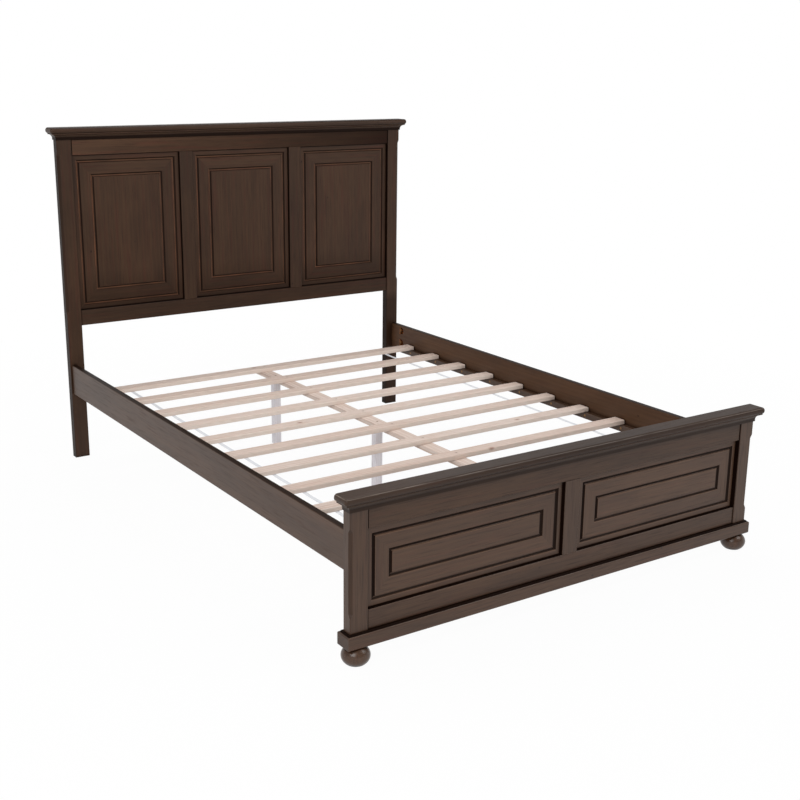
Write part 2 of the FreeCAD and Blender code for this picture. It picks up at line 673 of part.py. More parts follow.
def bed_bolt(name, rail, end, x, z):
    """Threaded rod from the post's insert through the rail's end to its nut."""
    hole_start, hole_length = from_end(end, "-dims.overrun", "dims.recess_wall + 2 * dims.overrun")
    hole_radius = "dims.bolt_width / 2 + dims.bolt_play"
    drill(rod(f"{name}_bolt_hole", Y, hole_radius, hole_length, x, hole_start, z), [rail])
    start, length = from_end(end, "-dims.insert_length", "dims.insert_length + places.bolt_reach")
    return rod(f"{name}_bolt", Y, "dims.bolt_width / 2", length, x, start, z)


def post_insert(name, post, end, x, z):
    """Threaded sleeve sunk in the post's face."""
    hole_length = "dims.insert_length + dims.end_room + dims.overrun"
    hole_start = from_end(end, "-dims.insert_length - dims.end_room", hole_length)[0]
    hole_radius = "dims.insert_width / 2 + dims.fit_play"
    drill(rod(f"{name}_insert_hole", Y, hole_radius, hole_length, x, hole_start, z), [post])
    start, length = from_end(end, "-dims.insert_length", "dims.insert_length")
    sleeve = rod(f"{name}_sleeve", Y, "dims.insert_width / 2", length, x, start, z)
    thread_near = "-dims.insert_length - dims.overrun"
    thread_start, thread_length = from_end(end, thread_near, f"{length} + 2 * dims.overrun")
    thread_radius = "dims.bolt_width / 2 + dims.fit_play"
    thread = rod(f"{name}_thread", Y, thread_radius, thread_length, x, thread_start, z)
    return cut(f"{name}_insert", sleeve, thread)


def half_moon_washer(name, end, x, z):
    """Washer against the recess's square wall, a disc narrowed to the recess's depth."""
    start, length = from_end(end, "dims.recess_wall", "dims.washer_thick")
    disc = rod(f"{name}_disc", Y, "dims.washer_height / 2", length, x, start, z)
    across = between(f"{x} - dims.washer_width / 2", f"{x} + dims.washer_width / 2")
    tall = (f"{z} - dims.washer_height / 2", "dims.washer_height")
    plate = doc.addObject("Part::Common", f"{name}_plate")
    plate.Base = disc
    plate.Tool = box(f"{name}_strip", across, (start, length), tall)
    hole_start, hole_length = from_end(end, "dims.recess_wall - dims.overrun", f"{length} + 2 * dims.overrun")
    hole_radius = "dims.bolt_width / 2 + dims.bolt_play"
    hole = rod(f"{name}_washer_hole", Y, hole_radius, hole_length, x, hole_start, z)
    return cut(f"{name}_washer", plate, hole)


def bolt_nut(name, end, x, z):
    """Six-sided nut on the washer."""
    start, length = from_end(end, "dims.recess_wall + dims.washer_thick", "dims.nut_height")
    nut = doc.addObject("Part::Prism", f"{name}_hexagon")
    nut.Polygon = NUT_SIDES
    nut.Placement = FreeCAD.Placement(FreeCAD.Vector(), FreeCAD.Rotation(Z, Y))
    nut.setExpression("Circumradius", "dims.nut_width / sqrt(3)")
    nut.setExpression("Height", length)
    place(nut, x, start, z)
    hole_near = "dims.recess_wall + dims.washer_thick - dims.overrun"
    hole_start, hole_length = from_end(end, hole_near, f"{length} + 2 * dims.overrun")
    hole_radius = "dims.bolt_width / 2 + dims.fit_play"
    return cut(f"{name}_nut", nut, rod(f"{name}_nut_hole", Y, hole_radius, hole_length, x, hole_start, z))


def slat_middle(number):
    """Where a slat's middle lies along the bed."""
    return f"places.first_slat + {number} * places.slat_pitch"


def ledges():
    """Strips along the inside of the side rails, screwed on from the inside, one screw to a slat."""
    screws = []
    for side in SIDES:
        label = f"{side}_ledge"
        along = between("places.foot_face + dims.ledge_end", "places.head_face - dims.ledge_end")
        across = on_side(side, "places.ledge_in", "places.rail_in")
        timber(label, across, along, ("places.ledge_bottom", "dims.ledge_height"), [Y])
        outwards = X if side == "right" else -X
        for number in range(SLATS):
            x = at_side(side, "places.ledge_in")
            y = f"{slat_middle(number)} - dims.ledge_screw_offset"
            z = "places.ledge_bottom + dims.ledge_screw_rise"
            length = "dims.ledge_width + dims.ledge_screw_bite"
            holds = [label, f"{side}_side_rail"]
            screws.append(screw_through(f"{side}_ledge_screw_{number}", outwards, length, holds, x, y, z))
    group("ledge_screws", screws)


def slat_base():
    """Loose slats joined by two tapes and screwed to a centre beam that stands on square legs."""
    screws = []
    for number in range(SLATS):
        label = f"slat_{number + 1}"
        y = slat_middle(number)
        along = (f"{y} - dims.slat_width / 2", "dims.slat_width")
        thick = ("places.slat_bottom", "dims.slat_thick")
        timber(label, both_ways("places.slat_half"), along, thick, [X], "Fillet", "dims.slat_round")
        length = "dims.slat_thick + dims.slat_screw_bite"
        holds = [label, "centre_beam"]
        screws.append(screw_through(f"{label}_screw", -Z, length, holds, "0", y, "places.slat_top"))
    group("slat_screws", screws)

    first = f"{slat_middle(0)} - dims.slat_width / 2"
    last = f"{slat_middle(SLATS - 1)} + dims.slat_width / 2"
    for side in SIDES:
        x = at_side(side, "places.tape_middle")
        under = ("places.slat_bottom - dims.tape_thick", "dims.tape_thick")
        across = (f"{x} - dims.tape_width / 2", "dims.tape_width")
        blanks[f"{side}_tape"] = box(f"{side}_tape_strip", across, between(first, last), under)

    along = between("places.foot_face + dims.beam_end", "places.head_face - dims.beam_end")
    thick = ("places.beam_bottom", "dims.beam_thick")
    timber("centre_beam", both_ways("dims.beam_width / 2"), along, thick, [Y])
    leg_screws = []
    for number in range(-1, 2):
        label = f"centre_leg_{number + 2}"
        y = f"places.bed_middle + {number * LEG_PITCHES} * places.slat_pitch"
        along = (f"{y} - dims.leg_width / 2", "dims.leg_width")
        timber(label, both_ways("dims.leg_width / 2"), along, ("0", "places.beam_bottom"), [Z])
        length = "dims.beam_thick + dims.leg_screw_bite"
        holds = ["centre_beam", label]
        leg_screws.append(screw_through(f"{label}_screw", -Z, length, holds, "0", y, "places.slat_bottom"))
    group("leg_screws", leg_screws)


for board in BOARDS:
    posts(board)
    rails(board)
    mullions(board)
    panels(board)
    cap(board)
base()
bun_feet()
hidden_dowels()
side_rails()
ledges()
slat_base()

# Each sub-part is its blank with its holes and grooves taken out.
parts = {}
for label, blank in blanks.items():
    tools = cutters.get(label, [])
    part = blank
    if tools:
        tool = fuse(f"{label}_tools", tools) if len(tools) > 1 else tools[0]
        part = cut(f"{label}_cut", blank, tool)
    part.Label = label
    parts[label] = part
doc.recompute()

broken = [item.Name for item in doc.Objects if {"Invalid", "Error"} & set(item.State)]
broken += [label for label, part in parts.items() if part.Shape.isNull() or not part.Shape.isValid()]
if broken:
    raise RuntimeError(f"these did not build: {broken}")

os.makedirs("parts", exist_ok=True)
for label, part in parts.items():
    part.Shape.exportStep(f"parts/{label}.step")
    print(label, len(part.Shape.Solids), round(part.Shape.Volume))
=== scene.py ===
"""Looks of a panelled wooden double bed with a slatted base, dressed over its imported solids."""
import math

import bmesh
import bpy
from mathutils import Matrix, Vector


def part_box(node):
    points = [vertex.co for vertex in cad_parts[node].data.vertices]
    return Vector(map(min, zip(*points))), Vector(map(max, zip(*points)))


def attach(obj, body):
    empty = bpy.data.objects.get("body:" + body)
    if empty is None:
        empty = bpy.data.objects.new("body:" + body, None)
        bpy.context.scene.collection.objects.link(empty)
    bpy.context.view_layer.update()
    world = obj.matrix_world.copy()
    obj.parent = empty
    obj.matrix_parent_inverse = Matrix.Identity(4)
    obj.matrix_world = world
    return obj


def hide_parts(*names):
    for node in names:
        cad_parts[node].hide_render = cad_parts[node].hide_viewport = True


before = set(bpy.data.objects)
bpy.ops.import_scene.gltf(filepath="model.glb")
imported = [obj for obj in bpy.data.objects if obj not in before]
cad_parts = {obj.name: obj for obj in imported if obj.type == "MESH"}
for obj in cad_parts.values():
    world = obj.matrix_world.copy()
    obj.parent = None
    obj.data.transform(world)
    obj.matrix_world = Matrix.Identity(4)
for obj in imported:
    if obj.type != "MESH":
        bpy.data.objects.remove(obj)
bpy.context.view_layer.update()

bl_info = {
    "name": "Wooden bed",
    "version": (1, 0, 0),
    "blender": (4, 5, 0),
    "location": "3D View > Sidebar > Bed",
    "description": "Finishes and fine pieces of a panelled wooden bed",
    "category": "Object",
}

MM = 0.001
SIDES = ("left", "right")
AXES = {"x": 0, "y": 1, "z": 2}
SLATS = [f"slat_{number}" for number in range(1, 11)]
LEGS = [f"centre_leg_{number}" for number in range(1, 4)]
PANELS = {
    "headboard": ("left_panel", "middle_panel", "right_panel"),
    "footboard": ("left_panel", "right_panel"),
}
MULLIONS = {"headboard": ("left_mullion", "right_mullion"), "footboard": ("mullion",)}
WOOD_IOR = 1.5
# shine of glaze and of painted shade
GLAZE_AND_SHADE_SHINE = 0.04
# rounding in millimetres by which the edges are found
EDGE_RADIUS = 3
# cosines between the rounded and the true normal where the rub on an edge starts and where it is full
EDGE_COSINES = (0.985, 0.9)
# shares of open sky where glaze and painted shade start to gather and where they are full
CREVICE_OPENNESS = (0.75, 0.3)
# how a chamfer at 45 degrees, a rounded upper edge and the lining of an opening face, each with a margin
CHAMFER_FACING = (math.sqrt(0.5) - 0.1, math.sqrt(0.5) + 0.1)
ROUND_FACING = (0.65, 0.85)
LINING_FACING = (-0.6, 0.6)


def linear(hex_colour):
    """A colour written as sRGB hex, as linear red, green, blue and alpha."""
    shares = [int(hex_colour[start:start + 2], 16) / 255 for start in (1, 3, 5)]
    return [c / 12.92 if c <= 0.04045 else ((c + 0.055) / 1.055) ** 2.4 for c in shares] + [1.0]


def deeper(colour, share):
    """A colour brought to a share of its brightness."""
    return [share * channel for channel in colour[:3]] + [1.0]


def length_property(name, description, millimetres):
    """A length that a user may change, kept in metres."""
    return bpy.props.FloatProperty(
        name=name, description=description, default=millimetres * MM, unit="LENGTH", precision=5
    )


def colour_property(name, description, hex_colour):
    """A colour that a user may change."""
    return bpy.props.FloatVectorProperty(
        name=name, description=description, default=linear(hex_colour), subtype="COLOR", size=4, min=0, max=1
    )


def power_property(name, description, watts):
    """A lamp's power that a user may change."""
    return bpy.props.FloatProperty(name=name, description=description, default=watts, unit="POWER")


class BedSizes(bpy.types.PropertyGroup):
    """Sizes of the pieces that are made here."""

    tongue: length_property("Tongue", "Panel edge hidden in the frame's grooves", 8)
    flute_margin: length_property("Flute margin", "From the edge of the opening to the outer flute", 18)
    flute_width: length_property("Flute width", "Across a flute", 10)
    flute_depth: length_property("Flute depth", "Into the panel", 4.5)
    flute_step: length_property("Flute step", "From one flute to the next", 52)
    flute_shoulder: length_property("Flute shoulder", "Rounding of the flute's edges", 1.6)
    foot_level: length_property("Foot level", "Floor to the bun foot's widest level", 22.5)
    foot_half: length_property("Foot half height", "Half height of the ball that a bun foot is cut from", 30)
    foot_neck: length_property("Foot neck", "Radius of the neck over a bun foot", 20)
    slat_round: length_property("Slat rounding", "Radius of the slats' long edges", 2)
    screw_head: length_property("Screw head", "Radius of a countersunk head", 4)
    screw_shank: length_property("Screw shank", "Radius of a screw's shank", 2)
    screw_sink: length_property("Screw sink", "Height of a countersunk head", 2.4)
    tape_sag: length_property("Tape sag", "Drop of the tape between two slats", 1.6)
    staple_crown: length_property("Staple crown", "Across a staple", 9)
    staple_wire: length_property("Staple wire", "Thickness of the staple's wire", 0.9)


class BedColours(bpy.types.PropertyGroup):
    """Colours of the finishes."""

    stain: colour_property("Stain", "Stained wood, middle tone", "#442F20")
    stain_light: colour_property("Light grain", "Early wood under the stain", "#543B29")
    stain_red: colour_property("Red grain", "Reddish streaks under the stain", "#552F22")
    stain_dark: colour_property("Dark grain", "Pores and late wood under the stain", "#2A1A12")
    # the glaze colour also lays the painted shade in crevices, openings, joints and on shaded faces
    glaze: colour_property("Glaze and painted shade", "Dark glaze, and painted shade, in crevices", "#150A06")
    # the rubbed colour also draws the painted highlight beside the footboard's flutes
    rub: colour_property("Rubbed edge and flute highlight", "Stain rubbed thin on edges, and the painted highlight beside the footboard's flutes", "#634836")
    # a painted highlight, with a little polish, on the rounded upper edges of the caps and the base
    edge_highlight_and_polish: colour_property("Edge highlight and polish", "Painted highlight, with some polish, on rounded upper edges", "#8A7F76")
    # the headboard's flutes: stain rubbed through, with painted highlight
    red_rub_and_highlight: colour_property("Rubbed flute and highlight", "Stain rubbed through, and painted highlight, on the headboard's flutes", "#80543A")
    raw: colour_property("Raw wood", "Unstained wood in the bolt recesses", "#C07A45")
    pine: colour_property("Pine", "Planed pine, pale early wood", "#D6C6BC")
    # painted light for the pine's faces that look along the bed
    pine_edge_light: colour_property("Pine edge", "Painted light on the pine's edges that look along the bed", "#F0E2D6")
    pine_ring: colour_property("Pine ring", "Darker rings of the pine", "#B69785")
    pine_knot: colour_property("Pine knot", "Knots in the pine", "#85553F")
    primer: colour_property("Primer", "Pale primer on the centre legs", "#E8E6EC")
    tape: colour_property("Tape", "Woven tape", "#E2E4E8")
    steel: colour_property("Steel", "Galvanised staples", "#C4BCA8")
    yellow_zinc: colour_property("Yellow zinc", "Screws, bolts, washers and nuts", "#94704A")
    brass: colour_property("Brass", "Brass inserts", "#B08D4F")
    beech: colour_property("Beech", "Dowels", "#C79A6B")


class StageSettings(bpy.types.PropertyGroup):
    """Camera, floor and lights."""

    camera_place: bpy.props.FloatVectorProperty(
        name="Camera place", description="From the floor under the middle of the side rails' foot ends",
        default=(-2.2137, -2.4166, 1.5031), subtype="TRANSLATION", unit="LENGTH",
    )
    lens: bpy.props.FloatProperty(name="Lens", description="Focal length in millimetres", default=55.44)
    key_power: power_property("Key light", "Softbox at the left", 86)
    top_power: power_property("Top light", "Softbox overhead", 80)
    fill_power: power_property("Fill light", "Softbox at the right", 28)
    ambient: bpy.props.FloatProperty(
        name="Ambient", description="Brightness of the studio overhead", default=0.42
    )


def add(tree, kind, sockets=None, **settings):
    """Add a node with its settings; an input takes a value, an output, or a node's first output in use."""
    item = tree.nodes.new(kind)
    for name, value in settings.items():
        setattr(item, name, value)
    for name, value in (sockets or {}).items():
        if isinstance(name, int):
            target = item.inputs[name]
        else:
            target = next(s for s in item.inputs if s.enabled and s.name == name)
        if isinstance(value, bpy.types.Node):
            value = next(s for s in value.outputs if s.enabled)
        if isinstance(value, bpy.types.NodeSocket):
            tree.links.new(value, target)
        else:
            target.default_value = value
    return item


def new_material(name):
    """An empty material and its node tree."""
    material = bpy.data.materials.new(name)
    material.use_nodes = True
    material.node_tree.nodes.clear()
    return material, material.node_tree


def grain_scale(grain, across, along):
    """Scale at which a pattern is one unit across the grain and one unit along it, from millimetres."""
    scale = [1 / (across * MM)] * 3
    scale[AXES[grain]] = 1 / (along * MM)
    return scale


def patches(tree, place, grain, size, detail, fading, least=0.0):
    """Cloudy patches of a size in millimetres across and along the grain, from a least value up to 1."""
    across, along = size
    none, full = fading
    lie = add(tree, "ShaderNodeMapping", {"Vector": place, "Scale": grain_scale(grain, across, along)})
    cloud = add(tree, "ShaderNodeTexNoise", {"Vector": lie, "Scale": 1.0, "Detail": detail})
    fade = {"Value": cloud, "From Min": none, "From Max": full, "To Min": least}
    return add(tree, "ShaderNodeMapRange", fade)


def figure(tree, place, grain, ring, pore, knot_cell, knot_size):
    """Slow tone, rings, pores and knots of sawn wood, each from 0 to 1, from sizes in millimetres."""
    tone = patches(tree, place, grain, (75, 900), 3.0, (0.3, 0.7))
    ring_place = add(tree, "ShaderNodeMapping", {"Vector": place, "Scale": grain_scale(grain, ring, 1400)})
    # at scale 1 the wave goes through ten radians to a unit, so this gives one ring to a unit
    wave = {
        "Vector": ring_place, "Scale": math.tau / 10, "Distortion": 9.0, "Detail": 3.0, "Detail Scale": 0.6,
    }
    bands = add(tree, "ShaderNodeTexWave", wave, wave_type="BANDS", bands_direction="DIAGONAL")
    pores = patches(tree, place, grain, (pore, pore * 30), 2.0, (0.52, 0.72))
    knot_scale = grain_scale(grain, knot_cell, knot_cell * 1.6)
    knot_place = add(tree, "ShaderNodeMapping", {"Vector": place, "Scale": knot_scale})
    cell = add(tree, "ShaderNodeTexVoronoi", {"Vector": knot_place, "Scale": 1.0})
    size = knot_size / knot_cell
    knots = add(tree, "ShaderNodeMapRange", {"Value": cell, "From Min": size, "From Max": 0.35 * size})
    return tone, bands.outputs["Fac"], pores, knots


def within(tree, limits):
    """1 where each value lies between its two limits, and 0 elsewhere."""
    inside = 1.0
    for value, low, high in limits:
        near = {0: value, 1: (low + high) / 2, 2: (high - low) / 2}
        near = add(tree, "ShaderNodeMath", near, operation="COMPARE")
        inside = add(tree, "ShaderNodeMath", {0: inside, 1: near}, operation="MULTIPLY")
    return inside


def tinted(tree, colour, *layers):
    """Lay tints over a colour, each where all its patterns of 0 to 1 show and at most at its share."""
    for *patterns, share, tint in layers:
        for pattern in patterns:
            share = add(tree, "ShaderNodeMath", {0: share, 1: pattern}, operation="MULTIPLY")
        colour = add(tree, "ShaderNodeMix", {"Factor": share, "A": colour, "B": tint}, data_type="RGBA")
    return colour


def glazed_and_shaded(tree, finish, share, strength=1.0):
    """Lay dark glaze and painted shade, which hardly shine, over a colour and its shine."""
    colour, shine = finish
    share = add(tree, "ShaderNodeMath", {0: share, 1: strength}, operation="MULTIPLY")
    glaze = {"Factor": share, "A": colour, "B": bpy.context.scene.bed_colours.glaze}
    colour = add(tree, "ShaderNodeMix", glaze, data_type="RGBA")
    shine = add(tree, "ShaderNodeMix", {"Factor": share, "A": shine, "B": GLAZE_AND_SHADE_SHINE}, data_type="FLOAT")
    return colour, shine


def surfaced(tree, looks, dull, relief):
    """Close a material: its looks, its roughness over a pattern of 0 to 1, and its relief in millimetres."""
    pattern, low, high = dull
    height, strength, depth = relief
    dull = add(tree, "ShaderNodeMapRange", {"Value": pattern, "To Min": low, "To Max": high})
    bump = add(tree, "ShaderNodeBump", {"Strength": strength, "Distance": depth * MM, "Height": height})
    shader = add(tree, "ShaderNodeBsdfPrincipled", {**looks, "Roughness": dull, "Normal": bump})
    add(tree, "ShaderNodeOutputMaterial", {"Surface": shader})


def stained_wood(
    name, grain, depth=1.0, gloss=0.4, rough=0.42, crevice=22, edge_rub=0.35, red_share=0.3, round_highlight_and_wear=0.0,
    pore_share=0.45, opening=None, fluted=None, recess=None, ramps=(), dark_faces=None, dark_chamfers=0.0,
):
    """Hardwood, dark-stained, glazed by hand and sprayed with satin lacquer, with painted shade laid in its
    crevices and on shaded faces.
    """
    # to the eye: a brown ground with fine darker dashes and red streaks along the grain, crevices nearly
    # black with glaze and painted shade, edges rubbed a little lighter, and a soft grey sheen from the
    # lacquer
    colours = bpy.context.scene.bed_colours
    material, tree = new_material(name)
    place = add(tree, "ShaderNodeTexCoord").outputs["Object"]
    spot = add(tree, "ShaderNodeSeparateXYZ", {"Vector": place}).outputs
    lie = place
    if fluted:
        # the strips round a panel's field have their grain along them
        turned = add(tree, "ShaderNodeCombineXYZ", {"X": spot["Z"], "Y": spot["Y"], "Z": spot["X"]})
        lay = add(tree, "ShaderNodeAttribute", attribute_name="lay").outputs["Fac"]
        lie = add(tree, "ShaderNodeMix", {"Factor": lay, "A": place, "B": turned}, data_type="VECTOR")
    # pores of about 1 mm are drawn 2.6 mm wide, as finer ones would not show
    tone, rings, pores, knots = figure(tree, lie, grain, ring=17, pore=2.6, knot_cell=95, knot_size=4)
    streaks = patches(tree, lie, grain, (9, 260), 2.0, (0.5, 0.75))
    # parts that took up more of the stain
    blotches = patches(tree, lie, grain, (60, 200), 3.0, (0.45, 0.7))
    tints = (colours.stain, colours.stain_light, colours.stain_red, colours.stain_dark, colours.rub)
    stain, light, red, dark, rubbed = (deeper(tint, depth) for tint in tints)
    layers = (
        (tone, 1.0, light), (streaks, red_share, red), (blotches, 0.3, dark), (rings, 0.16, dark),
        (pores, pore_share, dark), (knots, 0.75, colours.glaze),
    )
    colour = tinted(tree, stain, *layers)

    # edges, found where the rounded normal leaves the true one, and rubbed here and there
    normal = add(tree, "ShaderNodeNewGeometry").outputs["True Normal"]
    facing = add(tree, "ShaderNodeSeparateXYZ", {"Vector": normal}).outputs
    rounded = add(tree, "ShaderNodeBevel", {"Radius": EDGE_RADIUS * MM}, samples=4)
    same = add(tree, "ShaderNodeVectorMath", {0: rounded, 1: normal}, operation="DOT_PRODUCT")
    none, full = EDGE_COSINES
    edge = {"Value": same.outputs["Value"], "From Min": none, "From Max": full}
    edge = add(tree, "ShaderNodeMapRange", edge)
    worn = patches(tree, lie, grain, (30, 90), 2.0, (0.35, 0.6), least=0.3)
    colour = tinted(tree, colour, (edge, worn, edge_rub, rubbed))
    if round_highlight_and_wear:
        # a rounded upper edge gets a painted highlight, with a little wear, where it looks up and out
        outward = within(tree, [(facing["Z"], *ROUND_FACING)])
        colour = tinted(tree, colour, (outward, worn, round_highlight_and_wear, colours.edge_highlight_and_polish))

    # on the flutes, rub and painted highlight, then glaze and painted shade, as the panel's attributes lay
    # them
    if fluted:
        rub = add(tree, "ShaderNodeAttribute", attribute_name="rub").outputs["Fac"]
        colour = tinted(tree, colour, (rub, worn, 1.0, fluted))
        glaze = add(tree, "ShaderNodeAttribute", attribute_name="glaze").outputs["Fac"]
        finish = glazed_and_shaded(tree, (colour, gloss), glaze)
    else:
        # glaze and painted shade gather where surfaces face each other closely, laid by how little open sky a
        # point sees
        sky = add(tree, "ShaderNodeAmbientOcclusion", {"Distance": crevice * MM}, samples=6).outputs["AO"]
        none, full = CREVICE_OPENNESS
        share = add(tree, "ShaderNodeMapRange", {"Value": sky, "From Min": none, "From Max": full})
        finish = glazed_and_shaded(tree, (colour, gloss), share, 0.85)
    # the faces that line the panels' openings are laid dark: glaze and painted shade
    if opening:
        half, low, high = opening
        lining = [(spot["X"], -half - MM, half + MM), (spot["Z"], low - MM, high + MM)]
        finish = glazed_and_shaded(tree, finish, within(tree, [*lining, (facing["Y"], *LINING_FACING)]))
    if recess:
        width, length, height = recess
        distance = add(tree, "ShaderNodeMath", {0: spot["X"]}, operation="ABSOLUTE")
        bare = within(tree, [(distance, *width), (spot["Y"], *length), (spot["Z"], *height)])
        finish = (tinted(tree, finish[0], (bare, 1.0, colours.raw)), finish[1])
    # glaze and painted shade that rise from none at one place along an axis to their full strength at another
    for axis, none, full, strength in ramps:
        share = add(tree, "ShaderNodeMapRange", {"Value": spot[axis], "From Min": none, "From Max": full})
        finish = glazed_and_shaded(tree, finish, share, strength)
    # painted shade on the faces across an axis
    for axis, strength in (dark_faces or {}).items():
        across = add(tree, "ShaderNodeMath", {0: facing[axis]}, operation="ABSOLUTE")
        share = add(tree, "ShaderNodeMapRange", {"Value": across, "From Min": 0.6, "From Max": 0.8})
        finish = glazed_and_shaded(tree, finish, share, strength)
    # painted shade on chamfers that look sideways
    if dark_chamfers:
        across = add(tree, "ShaderNodeMath", {0: facing["X"]}, operation="ABSOLUTE")
        finish = glazed_and_shaded(tree, finish, within(tree, [(across, *CHAMFER_FACING)]), dark_chamfers)

    colour, shine = finish
    ridge = add(tree, "ShaderNodeMath", {0: rings, 1: 0.3}, operation="MULTIPLY")
    height = add(tree, "ShaderNodeMath", {0: ridge, 1: pores}, operation="SUBTRACT")
    looks = {"Base Color": colour, "IOR": WOOD_IOR, "Specular IOR Level": shine}
    surfaced(tree, looks, (pores, rough, rough + 0.12), (height, 0.25, 0.25))
    return material


def planed_pine(name, grain, own_tone=False):
    """Softwood, planed and left bare."""
    # to the eye: pale pinkish wood with soft grey-brown rings along the board, a few knots, and no gloss
    colours = bpy.context.scene.bed_colours
    material, tree = new_material(name)
    place = add(tree, "ShaderNodeTexCoord").outputs["Object"]
    tone, rings, pores, knots = figure(tree, place, grain, ring=13, pore=3.0, knot_cell=95, knot_size=9)
    late = add(tree, "ShaderNodeMath", {0: rings, 1: 2.0}, operation="POWER")
    clear = add(tree, "ShaderNodeMapRange", {"Value": tone, "To Min": 0.15, "To Max": 0.65})
    # the sawn edges, which look along the bed, are drawn paler than the planed faces: painted light, for the
    # light they lack
    normal = add(tree, "ShaderNodeNewGeometry").outputs["True Normal"]
    facing = add(tree, "ShaderNodeSeparateXYZ", {"Vector": normal}).outputs["Y"]
    across = add(tree, "ShaderNodeMath", {0: facing}, operation="ABSOLUTE")
    sawn = add(tree, "ShaderNodeMapRange", {"Value": across, "From Min": 0.5, "From Max": 0.9})
    layers = [
        (late, clear, 1.0, colours.pine_ring), (pores, 0.5, colours.pine_ring),
        (sawn, 0.6, colours.pine_edge_light), (knots, 0.7, colours.pine_knot),
    ]
    if own_tone:
        own = add(tree, "ShaderNodeAttribute", attribute_name="tone").outputs["Fac"]
        layers.append((own, 0.25, colours.pine_ring))
    colour = tinted(tree, colours.pine, *layers)
    height = add(tree, "ShaderNodeMath", {0: rings, 1: pores}, operation="SUBTRACT")
    looks = {"Base Color": colour, "IOR": WOOD_IOR, "Specular IOR Level": 0.3}
    surfaced(tree, looks, (pores, 0.6, 0.72), (height, 0.3, 0.2))
    return material


def primed_pine(name):
    """Softwood legs under one thin coat of pale primer."""
    # to the eye: a chalky grey-white with the grain just showing through
    colours = bpy.context.scene.bed_colours
    material, tree = new_material(name)
    place = add(tree, "ShaderNodeTexCoord").outputs["Object"]
    tone, rings, pores, knots = figure(tree, place, "z", ring=9, pore=2.4, knot_cell=85, knot_size=5)
    layers = ((rings, 0.14, colours.pine_ring), (knots, 0.2, colours.pine_knot))
    colour = tinted(tree, colours.primer, *layers)
    height = add(tree, "ShaderNodeMath", {0: rings, 1: pores}, operation="SUBTRACT")
    surfaced(tree, {"Base Color": colour}, (tone, 0.55, 0.68), (height, 0.2, 0.2))
    return material


def turned_beech(name):
    """Beech dowels, turned and left bare."""
    # to the eye: a pale brown with short dark flecks
    colours = bpy.context.scene.bed_colours
    material, tree = new_material(name)
    place = add(tree, "ShaderNodeTexCoord").outputs["Object"]
    flecks = patches(tree, place, "z", (1.2, 6), 2.0, (0.55, 0.7))
    colour = tinted(tree, colours.beech, (flecks, 0.5, colours.pine_knot))
    surfaced(tree, {"Base Color": colour}, (flecks, 0.5, 0.65), (flecks, 0.2, 0.05))
    return material


def plated_metal(name, colour, roughness):
    """Steel or brass hardware, machined and plated."""
    # to the eye: a metal with a soft, slightly cloudy shine and fine marks
    material, tree = new_material(name)
    place = add(tree, "ShaderNodeTexCoord").outputs["Object"]
    # plating clouds of about 2 mm
    cloud = add(tree, "ShaderNodeTexNoise", {"Vector": place, "Scale": 1 / (2 * MM), "Detail": 3.0})
    dark = add(tree, "ShaderNodeMapRange", {"Value": cloud, "From Min": 0.35, "From Max": 0.65})
    looks = {"Base Color": tinted(tree, colour, (dark, 0.3, deeper(colour, 0.3))), "Metallic": 1.0}
    dull = add(tree, "ShaderNodeMapRange", {"Value": cloud, "From Min": 0.3, "From Max": 0.7})
    surfaced(tree, looks, (dull, roughness - 0.06, roughness + 0.1), (cloud, 0.15, 0.05))
    return material


def woven_tape(name):
    """Polypropylene webbing, plain-woven."""
    # to the eye: a pale band of threads that go over and under
    colours = bpy.context.scene.bed_colours
    material, tree = new_material(name)
    place = add(tree, "ShaderNodeUVMap", uv_map="weave")
    spot = add(tree, "ShaderNodeSeparateXYZ", {"Vector": place}).outputs
    # threads of about 0.7 mm are drawn 2 mm wide, as finer ones would not show
    weave = 1.0
    for axis in ("X", "Y"):
        turn = add(tree, "ShaderNodeMath", {0: spot[axis], 1: math.tau / (4 * MM)}, operation="MULTIPLY")
        thread = add(tree, "ShaderNodeMath", {0: turn}, operation="SINE")
        weave = add(tree, "ShaderNodeMath", {0: weave, 1: thread}, operation="MULTIPLY")
    under = add(tree, "ShaderNodeMapRange", {"Value": weave, "From Min": -1.0})
    colour = tinted(tree, colours.tape, (under, 0.3, deeper(colours.tape, 0.55)))
    surfaced(tree, {"Base Color": colour}, (under, 0.6, 0.75), (weave, 0.4, 0.2))
    return material


def finish_nodes(names, material):
    """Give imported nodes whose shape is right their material."""
    for name in names:
        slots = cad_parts[name].data.materials
        slots.clear()
        slots.append(material)


def new_object(name, mesh, material=None):
    """A mesh object in the scene, at the origin."""
    item = bpy.data.objects.new(name, mesh)
    bpy.context.scene.collection.objects.link(item)
    if material:
        mesh.materials.append(material)
    return item


def mesh_from(name, build):
    """A mesh filled by a function that gets an empty bmesh."""
    work = bmesh.new()
    build(work)
    mesh = bpy.data.meshes.new(name)
    work.to_mesh(mesh)
    work.free()
    return mesh


def smooth_round(mesh, degrees):
    """Shade the round faces smooth and keep the corners sharp."""
    mesh.shade_smooth()
    mesh.set_sharp_from_angle(angle=math.radians(degrees))


def turned_shape(work, profile, around, matrix):
    """Turn an outline of radius and height about its axis; a radius of nothing closes it with a point."""
    rings = []
    for radius, level in profile:
        turns = [math.tau * step / around for step in range(around if radius else 1)]
        ring = [Vector((radius * math.cos(turn), radius * math.sin(turn), level)) for turn in turns]
        rings.append([work.verts.new(matrix @ corner) for corner in ring])
    for lower, upper in zip(rings, rings[1:]):
        for step in range(around):
            order = ((lower, step), (lower, step + 1), (upper, step + 1), (upper, step))
            corners = [ring[number % len(ring)] for ring, number in order]
            work.faces.new(list(dict.fromkeys(corners)))
    return rings


